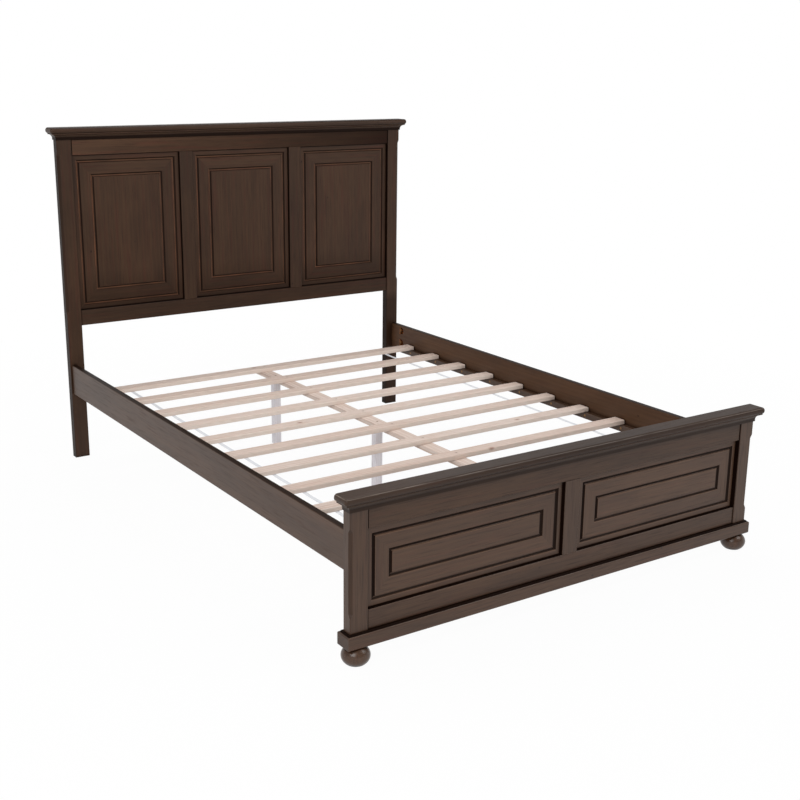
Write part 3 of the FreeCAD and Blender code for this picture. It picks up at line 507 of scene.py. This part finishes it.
def row_tree():
    """Geometry nodes that repeat one piece along a straight row, each with its own tone."""
    tree = bpy.data.node_groups.new("row of pieces", "GeometryNodeTree")
    sockets = (
        ("Piece", "NodeSocketObject"), ("Count", "NodeSocketInt"), ("Step", "NodeSocketVector"),
        ("Seed", "NodeSocketInt"), ("Finish", "NodeSocketMaterial"),
    )
    for name, kind in sockets:
        tree.interface.new_socket(name, in_out="INPUT", socket_type=kind)
    tree.interface.new_socket("Row", in_out="OUTPUT", socket_type="NodeSocketGeometry")
    given = add(tree, "NodeGroupInput").outputs
    line = {"Count": given["Count"], "Offset": given["Step"]}
    line = add(tree, "GeometryNodeMeshLine", line, mode="OFFSET")
    piece = add(tree, "GeometryNodeObjectInfo", {"Object": given["Piece"]}, transform_space="ORIGINAL")
    row = add(tree, "GeometryNodeInstanceOnPoints", {"Points": line, "Instance": piece.outputs["Geometry"]})
    chance = add(tree, "FunctionNodeRandomValue", {"Seed": given["Seed"]}, data_type="FLOAT")
    toned = {"Geometry": row, "Name": "tone", "Value": chance}
    toned = add(tree, "GeometryNodeStoreNamedAttribute", toned, data_type="FLOAT", domain="INSTANCE")
    solid = add(tree, "GeometryNodeRealizeInstances", {"Geometry": toned})
    finished = add(tree, "GeometryNodeSetMaterial", {"Geometry": solid, "Material": given["Finish"]})
    add(tree, "NodeGroupOutput", {"Row": finished})
    return tree


def row_of(name, mesh, count, step, seed, finish):
    """One plain mesh with a piece repeated along a row."""
    piece = new_object(f"{name}_piece", mesh)
    row = new_object(name, bpy.data.meshes.new(name))
    tree = bpy.data.node_groups.get("row of pieces") or row_tree()
    modifier = row.modifiers.new("Row", "NODES")
    modifier.node_group = tree
    values = {"Piece": piece, "Count": count, "Step": step, "Seed": seed, "Finish": finish}
    for item in tree.interface.items_tree:
        if item.in_out == "INPUT":
            modifier[item.identifier] = values[item.name]
    graph = bpy.context.evaluated_depsgraph_get()
    made = bpy.data.meshes.new_from_object(
        row.evaluated_get(graph), preserve_all_data_layers=True, depsgraph=graph
    )
    row.modifiers.remove(modifier)
    row.data = made
    bpy.data.objects.remove(piece)
    if not len(made.polygons):
        raise RuntimeError(f"{name} came out empty")
    return row


def slat_step():
    """From one slat to the next."""
    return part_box(SLATS[1])[0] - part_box(SLATS[0])[0]


class BED_OT_stage(bpy.types.Operator):
    """Set the floor, the room, the lights and the camera"""

    bl_idname = "bed.stage"
    bl_label = "Stage"

    # each softbox: its name, the setting with its power, its place, what it looks at and its size, in metres
    SOFTBOXES = (
        ("key_light", "key_power", (-3.2, -2.6, 3.0), (0, 0, 0.4), 2.4),
        ("top_light", "top_power", (0.2, 1.2, 4.2), (0, 0.6, 0.3), 3.2),
        ("fill_light", "fill_power", (2.2, -2.4, 2.9), (0, -0.95, 0.3), 1.6),
    )
    FLOOR_HALF = 40
    # the camera's own directions
    RIGHT = Vector((0.82783, -0.56086, 0.01151))
    DOWN = Vector((-0.14449, -0.233, -0.96168))
    AHEAD = Vector((0.54205, 0.79445, -0.27393))

    def execute(self, context):
        settings = context.scene.bed_stage
        context.scene.view_settings.view_transform = "Standard"
        new_object("floor", mesh_from("floor", self.build_floor), self.floor_material())
        context.scene.world = self.studio(settings.ambient)
        for name, power, place, target, size in self.SOFTBOXES:
            self.softbox(name, Vector(place), Vector(target), size, getattr(settings, power))
        self.camera(settings)
        return {"FINISHED"}

    def build_floor(self, work):
        bmesh.ops.create_grid(work, x_segments=1, y_segments=1, size=self.FLOOR_HALF)

    def floor_material(self):
        # painted studio floor: white to the camera and in reflections, but it still takes a faint shadow
        material, tree = new_material("painted studio floor")
        rays = add(tree, "ShaderNodeLightPath").outputs
        mirrored = {0: rays["Is Glossy Ray"], 1: rays["Is Transmission Ray"]}
        mirrored = add(tree, "ShaderNodeMath", mirrored, operation="MAXIMUM")
        seen = add(tree, "ShaderNodeMath", {0: rays["Is Camera Ray"], 1: mirrored}, operation="MAXIMUM")
        place = add(tree, "ShaderNodeTexCoord").outputs["Object"]
        away = add(tree, "ShaderNodeVectorMath", {0: place}, operation="LENGTH").outputs["Value"]
        white = {"Value": away, "From Min": 1.0, "From Max": 3.0, "To Min": 0.96, "To Max": 1.0}
        white = add(tree, "ShaderNodeMapRange", white)
        share = add(tree, "ShaderNodeMath", {0: seen, 1: white}, operation="MULTIPLY")
        paint = add(tree, "ShaderNodeBsdfDiffuse", {"Color": linear("#E6E6E6")})
        glow = add(tree, "ShaderNodeEmission", {"Color": linear("#FFFFFF"), "Strength": 1.0})
        both = add(tree, "ShaderNodeMixShader", {0: share, 1: paint, 2: glow})
        add(tree, "ShaderNodeOutputMaterial", {"Surface": both})
        return material

    def studio(self, ambient):
        # white at the horizon, which the camera sees, and dimmer overhead
        world = bpy.data.worlds.new("studio")
        world.use_nodes = True
        tree = world.node_tree
        tree.nodes.clear()
        sky = add(tree, "ShaderNodeTexCoord").outputs["Generated"]
        up = add(tree, "ShaderNodeSeparateXYZ", {"Vector": sky}).outputs["Z"]
        level = {"Value": up, "From Min": 0.2, "From Max": 0.34, "To Min": 1.0, "To Max": ambient}
        level = add(tree, "ShaderNodeMapRange", level)
        light = add(tree, "ShaderNodeBackground", {"Color": linear("#FFFFFF"), "Strength": level})
        add(tree, "ShaderNodeOutputWorld", {"Surface": light})
        return world

    def softbox(self, name, place, target, size, power):
        lamp = bpy.data.lights.new(name, "AREA")
        lamp.shape = "SQUARE"
        lamp.size = size
        lamp.energy = power
        item = bpy.data.objects.new(name, lamp)
        item.location = place
        item.rotation_euler = (target - place).to_track_quat("-Z", "Y").to_euler()
        bpy.context.scene.collection.objects.link(item)

    def camera(self, settings):
        lens = bpy.data.cameras.new("camera")
        lens.lens = settings.lens
        lens.sensor_width = 36
        lens.clip_end = 200
        item = bpy.data.objects.new("camera", lens)
        turn = Matrix((self.RIGHT, -self.DOWN, -self.AHEAD)).transposed()
        foot = Vector((0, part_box("left_side_rail")[0].y, 0))
        item.matrix_world = Matrix.Translation(Vector(settings.camera_place) + foot) @ turn.to_4x4()
        bpy.context.scene.collection.objects.link(item)
        bpy.context.scene.camera = item


class BED_OT_board_frames(bpy.types.Operator):
    """Finish the posts, rails and uprights of the two boards"""

    bl_idname = "bed.board_frames"
    bl_label = "Posts, rails and uprights"

    # the headboard's members shine less than the footboard's and are mostly darker: partly painted shade, for
    # the light and reflection that reach them less
    LACQUER_AND_SHADE = {"headboard": {"gloss": 0.2, "red_share": 0.7}, "footboard": {"gloss": 0.4, "red_share": 0.3}}
    # glaze and painted shadow in the gaps where rails meet posts, drawn 3 mm wide, as finer lines would not
    # show:
    # distances in mm from the rail's end where it starts and where it is full
    JOINT_LINE = (3.5, 2.5)
    # mm below the rail over which the right post gets darker
    POST_FADE = 40

    def execute(self, context):
        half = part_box("headboard_right_post")[0].x
        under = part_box("headboard_bottom_rail")[0].z
        starts, full = (half - inset * MM for inset in self.JOINT_LINE)
        joints = [("X", sign * starts, sign * full, 0.75) for sign in (-1, 1)]
        # the headboard's rails darken from left to right: painted shade, as the light reaches the right end
        # less
        self.stain("headboard", ["top_rail"], "x", 1.25, ramps=[("X", -half, half, 0.84), *joints])
        self.stain("headboard", ["bottom_rail"], "x", 0.66, ramps=[("X", -half, half, 0.25), *joints])
        # the headboard posts' side faces are laid darker as painted shade
        self.stain("headboard", ["left_post"], "z", 0.7, dark_faces={"X": 0.75})
        below_rail = [("Z", under, under - self.POST_FADE * MM, 0.45)]
        self.stain("headboard", ["right_post"], "z", 0.7, ramps=below_rail, dark_faces={"X": 0.75})
        self.stain("headboard", MULLIONS["headboard"], "z", 0.64)
        self.stain("footboard", ["top_rail"], "x", 0.8, gloss=0.33, pore_share=0.6, ramps=joints)
        self.stain("footboard", ["bottom_rail"], "x", 0.92, gloss=0.35, pore_share=0.6, ramps=joints)
        # the footboard posts' chamfers get painted shade
        self.stain("footboard", ["left_post", "right_post"], "z", 0.87, pore_share=0.6, dark_chamfers=0.35)
        self.stain("footboard", MULLIONS["footboard"], "z", 0.87, pore_share=0.6)
        return {"FINISHED"}

    def stain(self, board, names, grain, depth, **more):
        """Finish like members of a board, dark with glaze and painted shade where they line the panels'
        openings.
        """
        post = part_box(f"{board}_right_post")
        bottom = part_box(f"{board}_{PANELS[board][0]}")[0].z + bpy.context.scene.bed_sizes.tongue
        name = f"stained hardwood, {board} " + ", ".join(names).replace("_", " ")
        looks = {**self.LACQUER_AND_SHADE[board], **more}
        wood = stained_wood(name, grain, depth, opening=(post[0].x, bottom, post[1].z), **looks)
        finish_nodes([f"{board}_{name}" for name in names], wood)


class BED_OT_panels(bpy.types.Operator):
    """Make the panels with their flutes"""

    bl_idname = "bed.panels"
    bl_label = "Panels"

    # glaze and painted shade, rub and painted highlight, laid on each side of a board's panels as light falls
    # on that side: the width of the dark edge in mm, a painted shadow, then the glaze and painted shade and
    # the rub and painted highlight at stations across a flute, read from left to right or from top to bottom
    GLAZE_AND_LIGHT_BY_SIDE = {
        "headboard": {
            "bottom": (
                3.5,
                ((0, 0.8), (0.3, 0.7), (0.45, 0), (0.85, 0), (1, 0.5), (1.2, 0)),
                ((0.3, 0), (0.6, 0.75), (0.95, 0)),
            ),
            "right": (2, ((0.5, 0), (0.75, 0.75), (1, 0.7), (1.2, 0)), ((-0.15, 0), (0.2, 0.85), (0.55, 0))),
            "top": (
                2,
                ((0, 0.85), (0.35, 0.7), (0.5, 0), (0.85, 0), (1, 0.75), (1.2, 0)),
                ((0.4, 0), (0.65, 0.5), (0.9, 0)),
            ),
            "left": (0.5, ((0.5, 0), (0.75, 0.85), (1, 0.8), (1.2, 0)), ((-0.15, 0), (0.2, 1), (0.55, 0))),
        },
        "footboard": {
            "bottom": (
                3, ((0.4, 0), (0.52, 0.88), (0.88, 0.86), (1.02, 0)), ((0.95, 0), (1.12, 0.9), (1.31, 0)),
            ),
            "right": (
                5, ((-0.28, 0), (-0.1, 0.88), (1.05, 0.9), (1.2, 0)), ((1.1, 0), (1.2, 0.5), (1.31, 0)),
            ),
            "top": (1, ((0.2, 0), (0.32, 0.95), (0.75, 0.92), (0.9, 0)), ((0.85, 0), (1.1, 0.9), (1.31, 0))),
            "left": (
                1, ((0.2, 0), (0.32, 0.95), (0.95, 0.95), (1.1, 0)), ((1.05, 0), (1.2, 0.9), (1.31, 0)),
            ),
        },
    }
    TURNS = ("bottom", "right", "top", "left")
    # stations from the edge of the opening inwards and the fading of the dark edge, a painted shadow, in mm
    EDGE_INSETS = (0, 1.2, 2.5, 4, 5.5, 7, 8.5, 10)
    EDGE_FADE = 2
    # stations across a flute and on each shoulder beside it
    FLUTE_STEPS = 16
    SHOULDER_STEPS = 5

    def execute(self, context):
        colours = context.scene.bed_colours
        low, high = (corner.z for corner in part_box("headboard_left_panel"))
        # the headboard's panels are darker towards their lower ends
        lower = [("Z", low + 0.26 * (high - low), low + 0.06 * (high - low), 0.36)]
        # the headboard's panels are drawn darker and with less shine than the footboard's: partly painted
        # shade, for the light and reflection they lack
        looks = (
            ("headboard", 0.0, 0.76, 0.2, 0.7, colours.red_rub_and_highlight, lower),
            ("footboard", 1.0, 1.03, 0.4, 0.3, colours.rub, []),
        )
        for board, lay, depth, gloss, red, rub, ramps in looks:
            name = f"stained hardwood, {board} panels"
            wood = stained_wood(name, "z", depth, gloss, red_share=red, fluted=list(rub), ramps=ramps)
            for place in PANELS[board]:
                node = f"{board}_{place}"
                mesh = self.panel_mesh(node, board, lay, context.scene.bed_sizes)
                panel = new_object(f"{node}_fluted", mesh, wood)
                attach(panel, "frame")
                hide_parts(node)
        return {"FINISHED"}

    def section(self, sizes):
        """From a panel's edge inwards: distance from the opening's edge, depth, share across a flute."""
        points = [(-sizes.tongue, 0.0, None)] + [(inset * MM, 0.0, None) for inset in self.EDGE_INSETS]
        half = sizes.flute_width / 2
        radius = (half ** 2 + sizes.flute_depth ** 2) / (2 * sizes.flute_depth)
        for ring in range(2):
            start = sizes.flute_margin + ring * sizes.flute_step
            for step in range(-self.SHOULDER_STEPS, self.FLUTE_STEPS + self.SHOULDER_STEPS + 1):
                share = step / self.FLUTE_STEPS
                from_middle = abs(share - 0.5) * sizes.flute_width
                round_bottom = math.sqrt(max(0.0, radius ** 2 - from_middle ** 2)) - radius
                round_bottom += sizes.flute_depth
                shoulder = max(0.0, half + sizes.flute_shoulder - from_middle)
                depth = min(max(round_bottom, 0.22 * shoulder), 2.4 * shoulder)
                points.append((start + share * sizes.flute_width, depth, share))
        return points

    def at_stations(self, table, share):
        """A value between a table's stations, and none outside them."""
        for (first, low), (second, high) in zip(table, table[1:]):
            if first <= share <= second:
                return low + (high - low) * (share - first) / (second - first)
        return 0.0

    def look_of(self, board, side, point):
        """Rub and painted highlight, glaze and painted shade, at a point of the section on one side of a
        panel.
        """
        inset, _, share = point
        edge, glaze, rub = self.GLAZE_AND_LIGHT_BY_SIDE[board][side]
        if share is None:
            dark = (edge + self.EDGE_FADE - inset / MM) / self.EDGE_FADE if inset >= 0 else 0.0
            return 0.0, min(1.0, max(0.0, dark))
        if side in ("right", "bottom"):
            share = 1 - share
        return self.at_stations(rub, share), self.at_stations(glaze, share)

    def panel_mesh(self, node, board, lay, sizes):
        low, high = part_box(node)
        section = self.section(sizes)
        looks = []

        def build(work):
            loops = []
            for inset, depth, _ in section:
                gap = sizes.tongue + inset
                left, right, bottom, top = low.x + gap, high.x - gap, low.z + gap, high.z - gap
                corners = ((left, bottom), (right, bottom), (right, top), (left, top))
                loops.append([work.verts.new((x, low.y + depth, z)) for x, z in corners])
            corners = ((low.x, low.z), (high.x, low.z), (high.x, high.z), (low.x, high.z))
            back = [work.verts.new((x, high.y, z)) for x, z in corners]
            for number, (outer, inner) in enumerate(zip([back] + loops, loops)):
                for turn, side in enumerate(self.TURNS):
                    after = (turn + 1) % 4
                    work.faces.new((outer[turn], outer[after], inner[after], inner[turn]))
                    first = self.look_of(board, side, section[max(0, number - 1)])
                    second = self.look_of(board, side, section[number])
                    along = 1.0 if side in ("bottom", "top") else 0.0
                    looks.extend((*look, along) for look in (first, first, second, second))
            work.faces.new(loops[-1])
            work.faces.new(back[::-1])
            looks.extend([(0.0, 0.0, lay)] * 8)

        mesh = mesh_from(f"{node}_fluted", build)
        for column, name in enumerate(("rub", "glaze", "lay")):
            values = [look[column] for look in looks]
            mesh.attributes.new(name, "FLOAT", "CORNER").data.foreach_set("value", values)
        smooth_round(mesh, 35)
        return mesh


class BED_OT_mouldings(bpy.types.Operator):
    """Finish the caps, the coves under them and the base"""

    bl_idname = "bed.mouldings"
    bl_label = "Caps, coves and base"

    # mm over the cove's lower edge and under the base's top where glaze and painted shadow start and where
    # they are full
    COVE_HOLLOW = (14, 8)
    BASE_LINE = (4.2, 3.1)

    def execute(self, context):
        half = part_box("footboard_cap")[1].x
        # the footboard's cap is paler at its left end
        fading = [("X", -0.8 * half, -0.15 * half, 0.3)]
        looks = (
            # the headboard cap's top face is laid darker as painted shade
            ("headboard", 0.7, 0.22, 0.9, 0.0, {"Z": 0.6}, []),
            ("footboard", 0.6, 0.29, 0.45, 0.5, None, fading),
        )
        for board, depth, gloss, hollow, edge, dark, ramps in looks:
            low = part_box(f"{board}_cove_moulding")[0].z
            starts, full = (low + rise * MM for rise in self.COVE_HOLLOW)
            ramp = ("Z", starts, full, hollow)
            name = f"stained hardwood, {board} cove"
            cove = stained_wood(name, "x", depth, gloss, crevice=34, edge_rub=0.5, ramps=[ramp])
            finish_nodes([f"{board}_cove_moulding"], cove)
            cap = stained_wood(
                f"stained hardwood, {board} cap", "x", depth, gloss, round_highlight_and_wear=edge, pore_share=0.25,
                ramps=ramps, dark_faces=dark,
            )
            finish_nodes([f"{board}_cap"], cap)
        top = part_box("footboard_base")[1].z
        starts, full = (top - drop * MM for drop in self.BASE_LINE)
        ramp = ("Z", starts, full, 0.95)
        # the base's ends are laid darker as painted shade, and its top edge gets the painted highlight
        base = stained_wood(
            "stained hardwood, base", "x", 0.95, pore_share=0.6, round_highlight_and_wear=0.3, ramps=[ramp],
            dark_faces={"X": 0.3},
        )
        finish_nodes(["footboard_base"], base)
        return {"FINISHED"}


class BED_OT_bun_feet(bpy.types.Operator):
    """Turn the two bun feet"""

    bl_idname = "bed.bun_feet"
    bl_label = "Bun feet"

    STEPS_AROUND = 72
    STEPS_UP = 36
    # the eased edge at the floor, in mm
    EASED_HEIGHT = 0.8
    EASED_WIDTH = 1

    def execute(self, context):
        sizes = context.scene.bed_sizes
        name = "stained hardwood, turned feet"
        wood = stained_wood(name, "z", 0.95, 0.45, 0.25, crevice=12, pore_share=0.9)
        for side in SIDES:
            node = f"{side}_bun_foot"
            low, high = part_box(node)
            matrix = Matrix.Translation(((low.x + high.x) / 2, (low.y + high.y) / 2, low.z))
            profile = self.profile(high.z - low.z, (high.x - low.x) / 2, sizes)
            around = self.STEPS_AROUND
            mesh = mesh_from(f"{node}_turned", lambda work: turned_shape(work, profile, around, matrix))
            smooth_round(mesh, 50)
            foot = new_object(f"{node}_turned", mesh, wood)
            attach(foot, "frame")
            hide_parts(node)
        return {"FINISHED"}

    def profile(self, height, ball, sizes):
        """Radius and height of the turned outline, from the floor up."""
        middle, half, neck = sizes.foot_level, sizes.foot_half, sizes.foot_neck
        first = math.asin((self.EASED_HEIGHT * MM - middle) / half)
        last = math.acos(neck / ball)
        flat = ball * math.cos(first) - self.EASED_WIDTH * MM
        points = [(0, 0), (flat, 0)]
        for step in range(self.STEPS_UP + 1):
            turn = first + (last - first) * step / self.STEPS_UP
            points.append((ball * math.cos(turn), middle + half * math.sin(turn)))
        return points + [(neck, height), (0, height)]


class BED_OT_side_rails(bpy.types.Operator):
    """Finish the side rails and the ledges along them"""

    bl_idname = "bed.side_rails"
    bl_label = "Side rails and ledges"

    # where only the recesses' surfaces lie: depth behind the inner face, and margins from the rail's
    # ends, its lower edge and its upper edge, in mm
    RECESS_DEPTH = (0.4, 16.4)
    RECESS_MARGINS = (40, 8, 4)

    def execute(self, context):
        end, lower, upper = (margin * MM for margin in self.RECESS_MARGINS)
        # the right rail, seen from inside, is drawn darker and with less shine than the left: painted shade,
        # for the light and reflection it lacks; the rails' top faces are laid darker as painted shade
        for side, depth, gloss in (("left", 0.9, 0.34), ("right", 1.1, 0.12)):
            low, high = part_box(f"{side}_side_rail")
            inside = min(abs(low.x), abs(high.x))
            width = tuple(inside + reach * MM for reach in self.RECESS_DEPTH)
            recess = (width, (low.y + end, high.y - end), (low.z + lower, high.z - upper))
            wood = stained_wood(
                f"stained hardwood, {side} side rail", "y", depth, gloss, red_share=0.15, pore_share=0.2,
                recess=recess, dark_faces={"Z": 0.85},
            )
            finish_nodes([f"{side}_side_rail"], wood)
        ledge_wood = stained_wood("stained hardwood, ledges", "y", 0.85, 0.3)
        finish_nodes([f"{side}_ledge" for side in SIDES], ledge_wood)
        return {"FINISHED"}


class BED_OT_slats(bpy.types.Operator):
    """Lay the ten slats"""

    bl_idname = "bed.slats"
    bl_label = "Slats"

    # easing of the slats' ends, in mm
    END_EASING = 0.5

    def execute(self, context):
        low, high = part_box(SLATS[0])
        rounding = context.scene.bed_sizes.slat_round

        def build(work):
            box = Matrix.Translation((low + high) / 2) @ Matrix.Diagonal((*(high - low), 1))
            bmesh.ops.create_cube(work, size=1, matrix=box)
            long_edges = [e for e in work.edges if abs(e.verts[0].co.x - e.verts[1].co.x) > 0.1]
            bmesh.ops.bevel(work, geom=long_edges, offset=rounding, segments=4, profile=0.5, affect="EDGES")
            ends = [e for e in work.edges if abs(e.verts[0].co.x - e.verts[1].co.x) < 1e-6]
            easing = self.END_EASING * MM
            bmesh.ops.bevel(work, geom=ends, offset=easing, segments=1, profile=0.5, affect="EDGES")

        mesh = mesh_from("slat", build)
        smooth_round(mesh, 35)
        pine = planed_pine("planed pine, slats", "x", own_tone=True)
        slats = row_of("slats", mesh, len(SLATS), slat_step(), 4, pine)
        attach(slats, "slat_base")
        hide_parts(*SLATS)
        return {"FINISHED"}


class BED_OT_tapes(bpy.types.Operator):
    """Stretch the two tapes under the slats and staple them"""

    bl_idname = "bed.tapes"
    bl_label = "Tapes and staples"

    def execute(self, context):
        sizes = context.scene.bed_sizes
        webbing = woven_tape("woven webbing")
        for side in SIDES:
            node = f"{side}_tape"
            tape = new_object(f"{node}_woven", self.tape_mesh(node, sizes.tape_sag), webbing)
            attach(tape, "slat_base")
            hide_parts(node)
        steel = plated_metal("galvanised staple wire", context.scene.bed_colours.steel, 0.35)
        staples = row_of("tape_staples", self.staple_mesh(sizes), len(SLATS), slat_step(), 2, steel)
        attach(staples, "slat_base")
        return {"FINISHED"}

    # steps of a tape's sag between two slats, and across a tape
    SAG_STEPS = 12
    ACROSS_STEPS = 6

    def tape_mesh(self, node, sag):
        low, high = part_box(node)
        spans = [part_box(name) for name in SLATS]
        stations = []
        for number, (start, end) in enumerate(spans):
            stations += [(start.y, 0.0), ((start.y + end.y) / 2, 0.0), (end.y, 0.0)]
            if number + 1 < len(spans):
                gap = spans[number + 1][0].y - end.y
                for step in range(1, self.SAG_STEPS):
                    share = step / self.SAG_STEPS
                    stations.append((end.y + gap * share, -4 * sag * share * (1 - share)))
        across = self.ACROSS_STEPS
        xs = [low.x + (high.x - low.x) * step / across for step in range(across + 1)]

        def build(work):
            upper = [[work.verts.new((x, y, high.z + drop)) for x in xs] for y, drop in stations]
            lower = [[work.verts.new((x, y, low.z + drop)) for x in xs] for y, drop in stations]
            layer = work.loops.layers.uv.new("weave")
            for number in range(len(stations) - 1):
                a, b, c, d = upper[number], upper[number + 1], lower[number], lower[number + 1]
                for step in range(across):
                    work.faces.new((a[step], a[step + 1], b[step + 1], b[step]))
                    work.faces.new((c[step], d[step], d[step + 1], c[step + 1]))
                work.faces.new((a[0], b[0], d[0], c[0]))
                work.faces.new((a[-1], c[-1], d[-1], b[-1]))
            work.faces.new([*upper[0][::-1], *lower[0]])
            work.faces.new([*upper[-1], *lower[-1][::-1]])
            for face in work.faces:
                for loop in face.loops:
                    loop[layer].uv = (loop.vert.co.x - low.x, loop.vert.co.y - low.y)

        mesh = mesh_from(f"{node}_woven", build)
        smooth_round(mesh, 30)
        return mesh

    def staple_mesh(self, sizes):
        """The staples under the first slat: two across each tape."""
        start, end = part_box(SLATS[0])
        wire = sizes.staple_wire

        def build(work):
            for side in SIDES:
                low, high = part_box(f"{side}_tape")
                middle = (low.x + high.x) / 2
                for share in (0.3, 0.7):
                    place = Vector((middle, start.y + (end.y - start.y) * share, low.z - wire / 2))
                    crown = Matrix.Translation(place) @ Matrix.Diagonal((sizes.staple_crown, wire, wire, 1))
                    made = bmesh.ops.create_cube(work, size=1, matrix=crown)
                    edges = list(dict.fromkeys(edge for vert in made["verts"] for edge in vert.link_edges))
                    easing = wire * 0.28
                    bmesh.ops.bevel(work, geom=edges, offset=easing, segments=1, profile=0.5, affect="EDGES")

        return mesh_from("staple", build)


class BED_OT_beam_and_legs(bpy.types.Operator):
    """Finish the centre beam and its legs"""

    bl_idname = "bed.beam_and_legs"
    bl_label = "Centre beam and legs"

    def execute(self, context):
        finish_nodes(["centre_beam"], planed_pine("planed pine, centre beam", "y"))
        finish_nodes(LEGS, primed_pine("primed pine, centre legs"))
        return {"FINISHED"}


class BED_OT_screws(bpy.types.Operator):
    """Drive the countersunk screws in the ledges, the slats and the legs"""

    bl_idname = "bed.screws"
    bl_label = "Screws"

    STEPS_AROUND = 20
    # lengths of the tip and of the whole point, and height and width of the eased rim, in mm
    POINT = (2, 5)
    RIM = (0.2, 0.3)

    def execute(self, context):
        sizes = context.scene.bed_sizes
        zinc = plated_metal("yellow zinc-plated steel, screws", context.scene.bed_colours.yellow_zinc, 0.36)
        head = sizes.screw_head

        for node, count in (("slat_screws", len(SLATS)), ("leg_screws", len(LEGS))):
            low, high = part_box(node)
            first = Matrix.Translation((0, low.y + head, high.z))
            step = Vector((0, (high.y - low.y - 2 * head) / (count - 1), 0))
            self.drive(node, [first], high.z - low.z, count, step, zinc, "slat_base")
        low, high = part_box("ledge_screws")
        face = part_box("right_ledge")[0].x
        pair = []
        for sign in (-1, 1):
            inwards = Vector((-sign, 0, 0)).to_track_quat("Z", "Y").to_matrix().to_4x4()
            pair.append(Matrix.Translation((sign * face, low.y + head, (low.z + high.z) / 2)) @ inwards)
        self.drive("ledge_screws", pair, high.x - face, len(SLATS), slat_step(), zinc, "frame")
        return {"FINISHED"}

    def drive(self, node, places, length, count, step, finish, body):
        sizes = bpy.context.scene.bed_sizes

        def build(work):
            for place in places:
                self.build_screw(work, place, length, sizes)

        screws = row_of(f"{node}_driven", mesh_from(node, build), count, step, 1, finish)
        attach(screws, body)
        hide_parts(node)

    def build_screw(self, work, place, length, sizes):
        """A countersunk screw with a cross recess; its head looks along the place's own Z."""
        head, shank, sink = sizes.screw_head, sizes.screw_shank, sizes.screw_sink
        tip, whole = (reach * MM - length for reach in self.POINT)
        rim_height, rim_width = (size * MM for size in self.RIM)
        profile = [(0, -length), (shank * 0.5, tip), (shank, whole), (shank, -sink)]
        profile += [(head, -rim_height), (head - rim_width, 0)]
        rim = turned_shape(work, profile, self.STEPS_AROUND, place)[-1]
        arm, reach = 0.16 * head, 0.56 * head
        corners = [Vector(corner) for corner in ((reach, -arm, 0), (reach, arm, 0), (arm, arm, 0))]
        outline = []
        for quarter in range(4):
            turn = Matrix.Rotation(quarter * math.pi / 2, 4, "Z")
            outline += [turn @ corner for corner in corners]
        sunk = [Vector((0.5 * corner.x, 0.5 * corner.y, -0.4 * head)) for corner in outline]
        top = [work.verts.new(place @ corner) for corner in outline]
        floor = [work.verts.new(place @ corner) for corner in sunk]
        edges = []
        for loop in (rim, top):
            for first, second in zip(loop, loop[1:] + loop[:1]):
                edges.append(work.edges.get((first, second)) or work.edges.new((first, second)))
        upward = place.to_3x3() @ Vector((0, 0, 1))
        bmesh.ops.triangle_fill(work, use_beauty=True, edges=edges, normal=upward)
        for step in range(len(top)):
            after = (step + 1) % len(top)
            work.faces.new((top[step], top[after], floor[after], floor[step]))
        work.faces.new(floor)
        bmesh.ops.recalc_face_normals(work, faces=work.faces)


class BED_OT_hardware(bpy.types.Operator):
    """Finish the bolts, inserts, washers, nuts and dowels"""

    bl_idname = "bed.hardware"
    bl_label = "Bolts and dowels"

    def execute(self, context):
        colours = context.scene.bed_colours
        zinc = plated_metal("yellow zinc-plated steel, bolts", colours.yellow_zinc, 0.34)
        finish_nodes(["bun_foot_bolts", "bed_bolts", "half_moon_washers", "bed_bolt_nuts"], zinc)
        finish_nodes(["post_inserts"], plated_metal("brass, machined", colours.brass, 0.28))
        finish_nodes(["cap_dowels", "base_dowels", "rail_dowels"], turned_beech("beech, turned"))
        return {"FINISHED"}


OPERATORS = (
    BED_OT_stage, BED_OT_board_frames, BED_OT_panels, BED_OT_mouldings, BED_OT_bun_feet, BED_OT_side_rails,
    BED_OT_slats, BED_OT_tapes, BED_OT_beam_and_legs, BED_OT_screws, BED_OT_hardware,
)


class BED_PT_sidebar(bpy.types.Panel):
    """The bed's pieces, sizes and colours"""

    bl_idname = "BED_PT_sidebar"
    bl_label = "Wooden bed"
    bl_space_type = "VIEW_3D"
    bl_region_type = "UI"
    bl_category = "Bed"

    def draw(self, context):
        for operator in OPERATORS:
            self.layout.operator(operator.bl_idname)
        for group in (context.scene.bed_sizes, context.scene.bed_colours, context.scene.bed_stage):
            column = self.layout.column()
            for name in group.__annotations__:
                column.prop(group, name)


GROUPS = {"bed_sizes": BedSizes, "bed_colours": BedColours, "bed_stage": StageSettings}


def register():
    """Add the groups, the operators and the sidebar."""
    for name, group in GROUPS.items():
        bpy.utils.register_class(group)
        setattr(bpy.types.Scene, name, bpy.props.PointerProperty(type=group))
    for operator in OPERATORS:
        bpy.utils.register_class(operator)
    bpy.utils.register_class(BED_PT_sidebar)


def unregister():
    """Take away what register added."""
    bpy.utils.unregister_class(BED_PT_sidebar)
    for operator in reversed(OPERATORS):
        bpy.utils.unregister_class(operator)
    for name, group in GROUPS.items():
        delattr(bpy.types.Scene, name)
        bpy.utils.unregister_class(group)


def main():
    """Make every piece."""
    register()
    for operator in OPERATORS:
        family, name = operator.bl_idname.split(".")
        getattr(getattr(bpy.ops, family), name)()


if __name__ == "__main__":
    main()
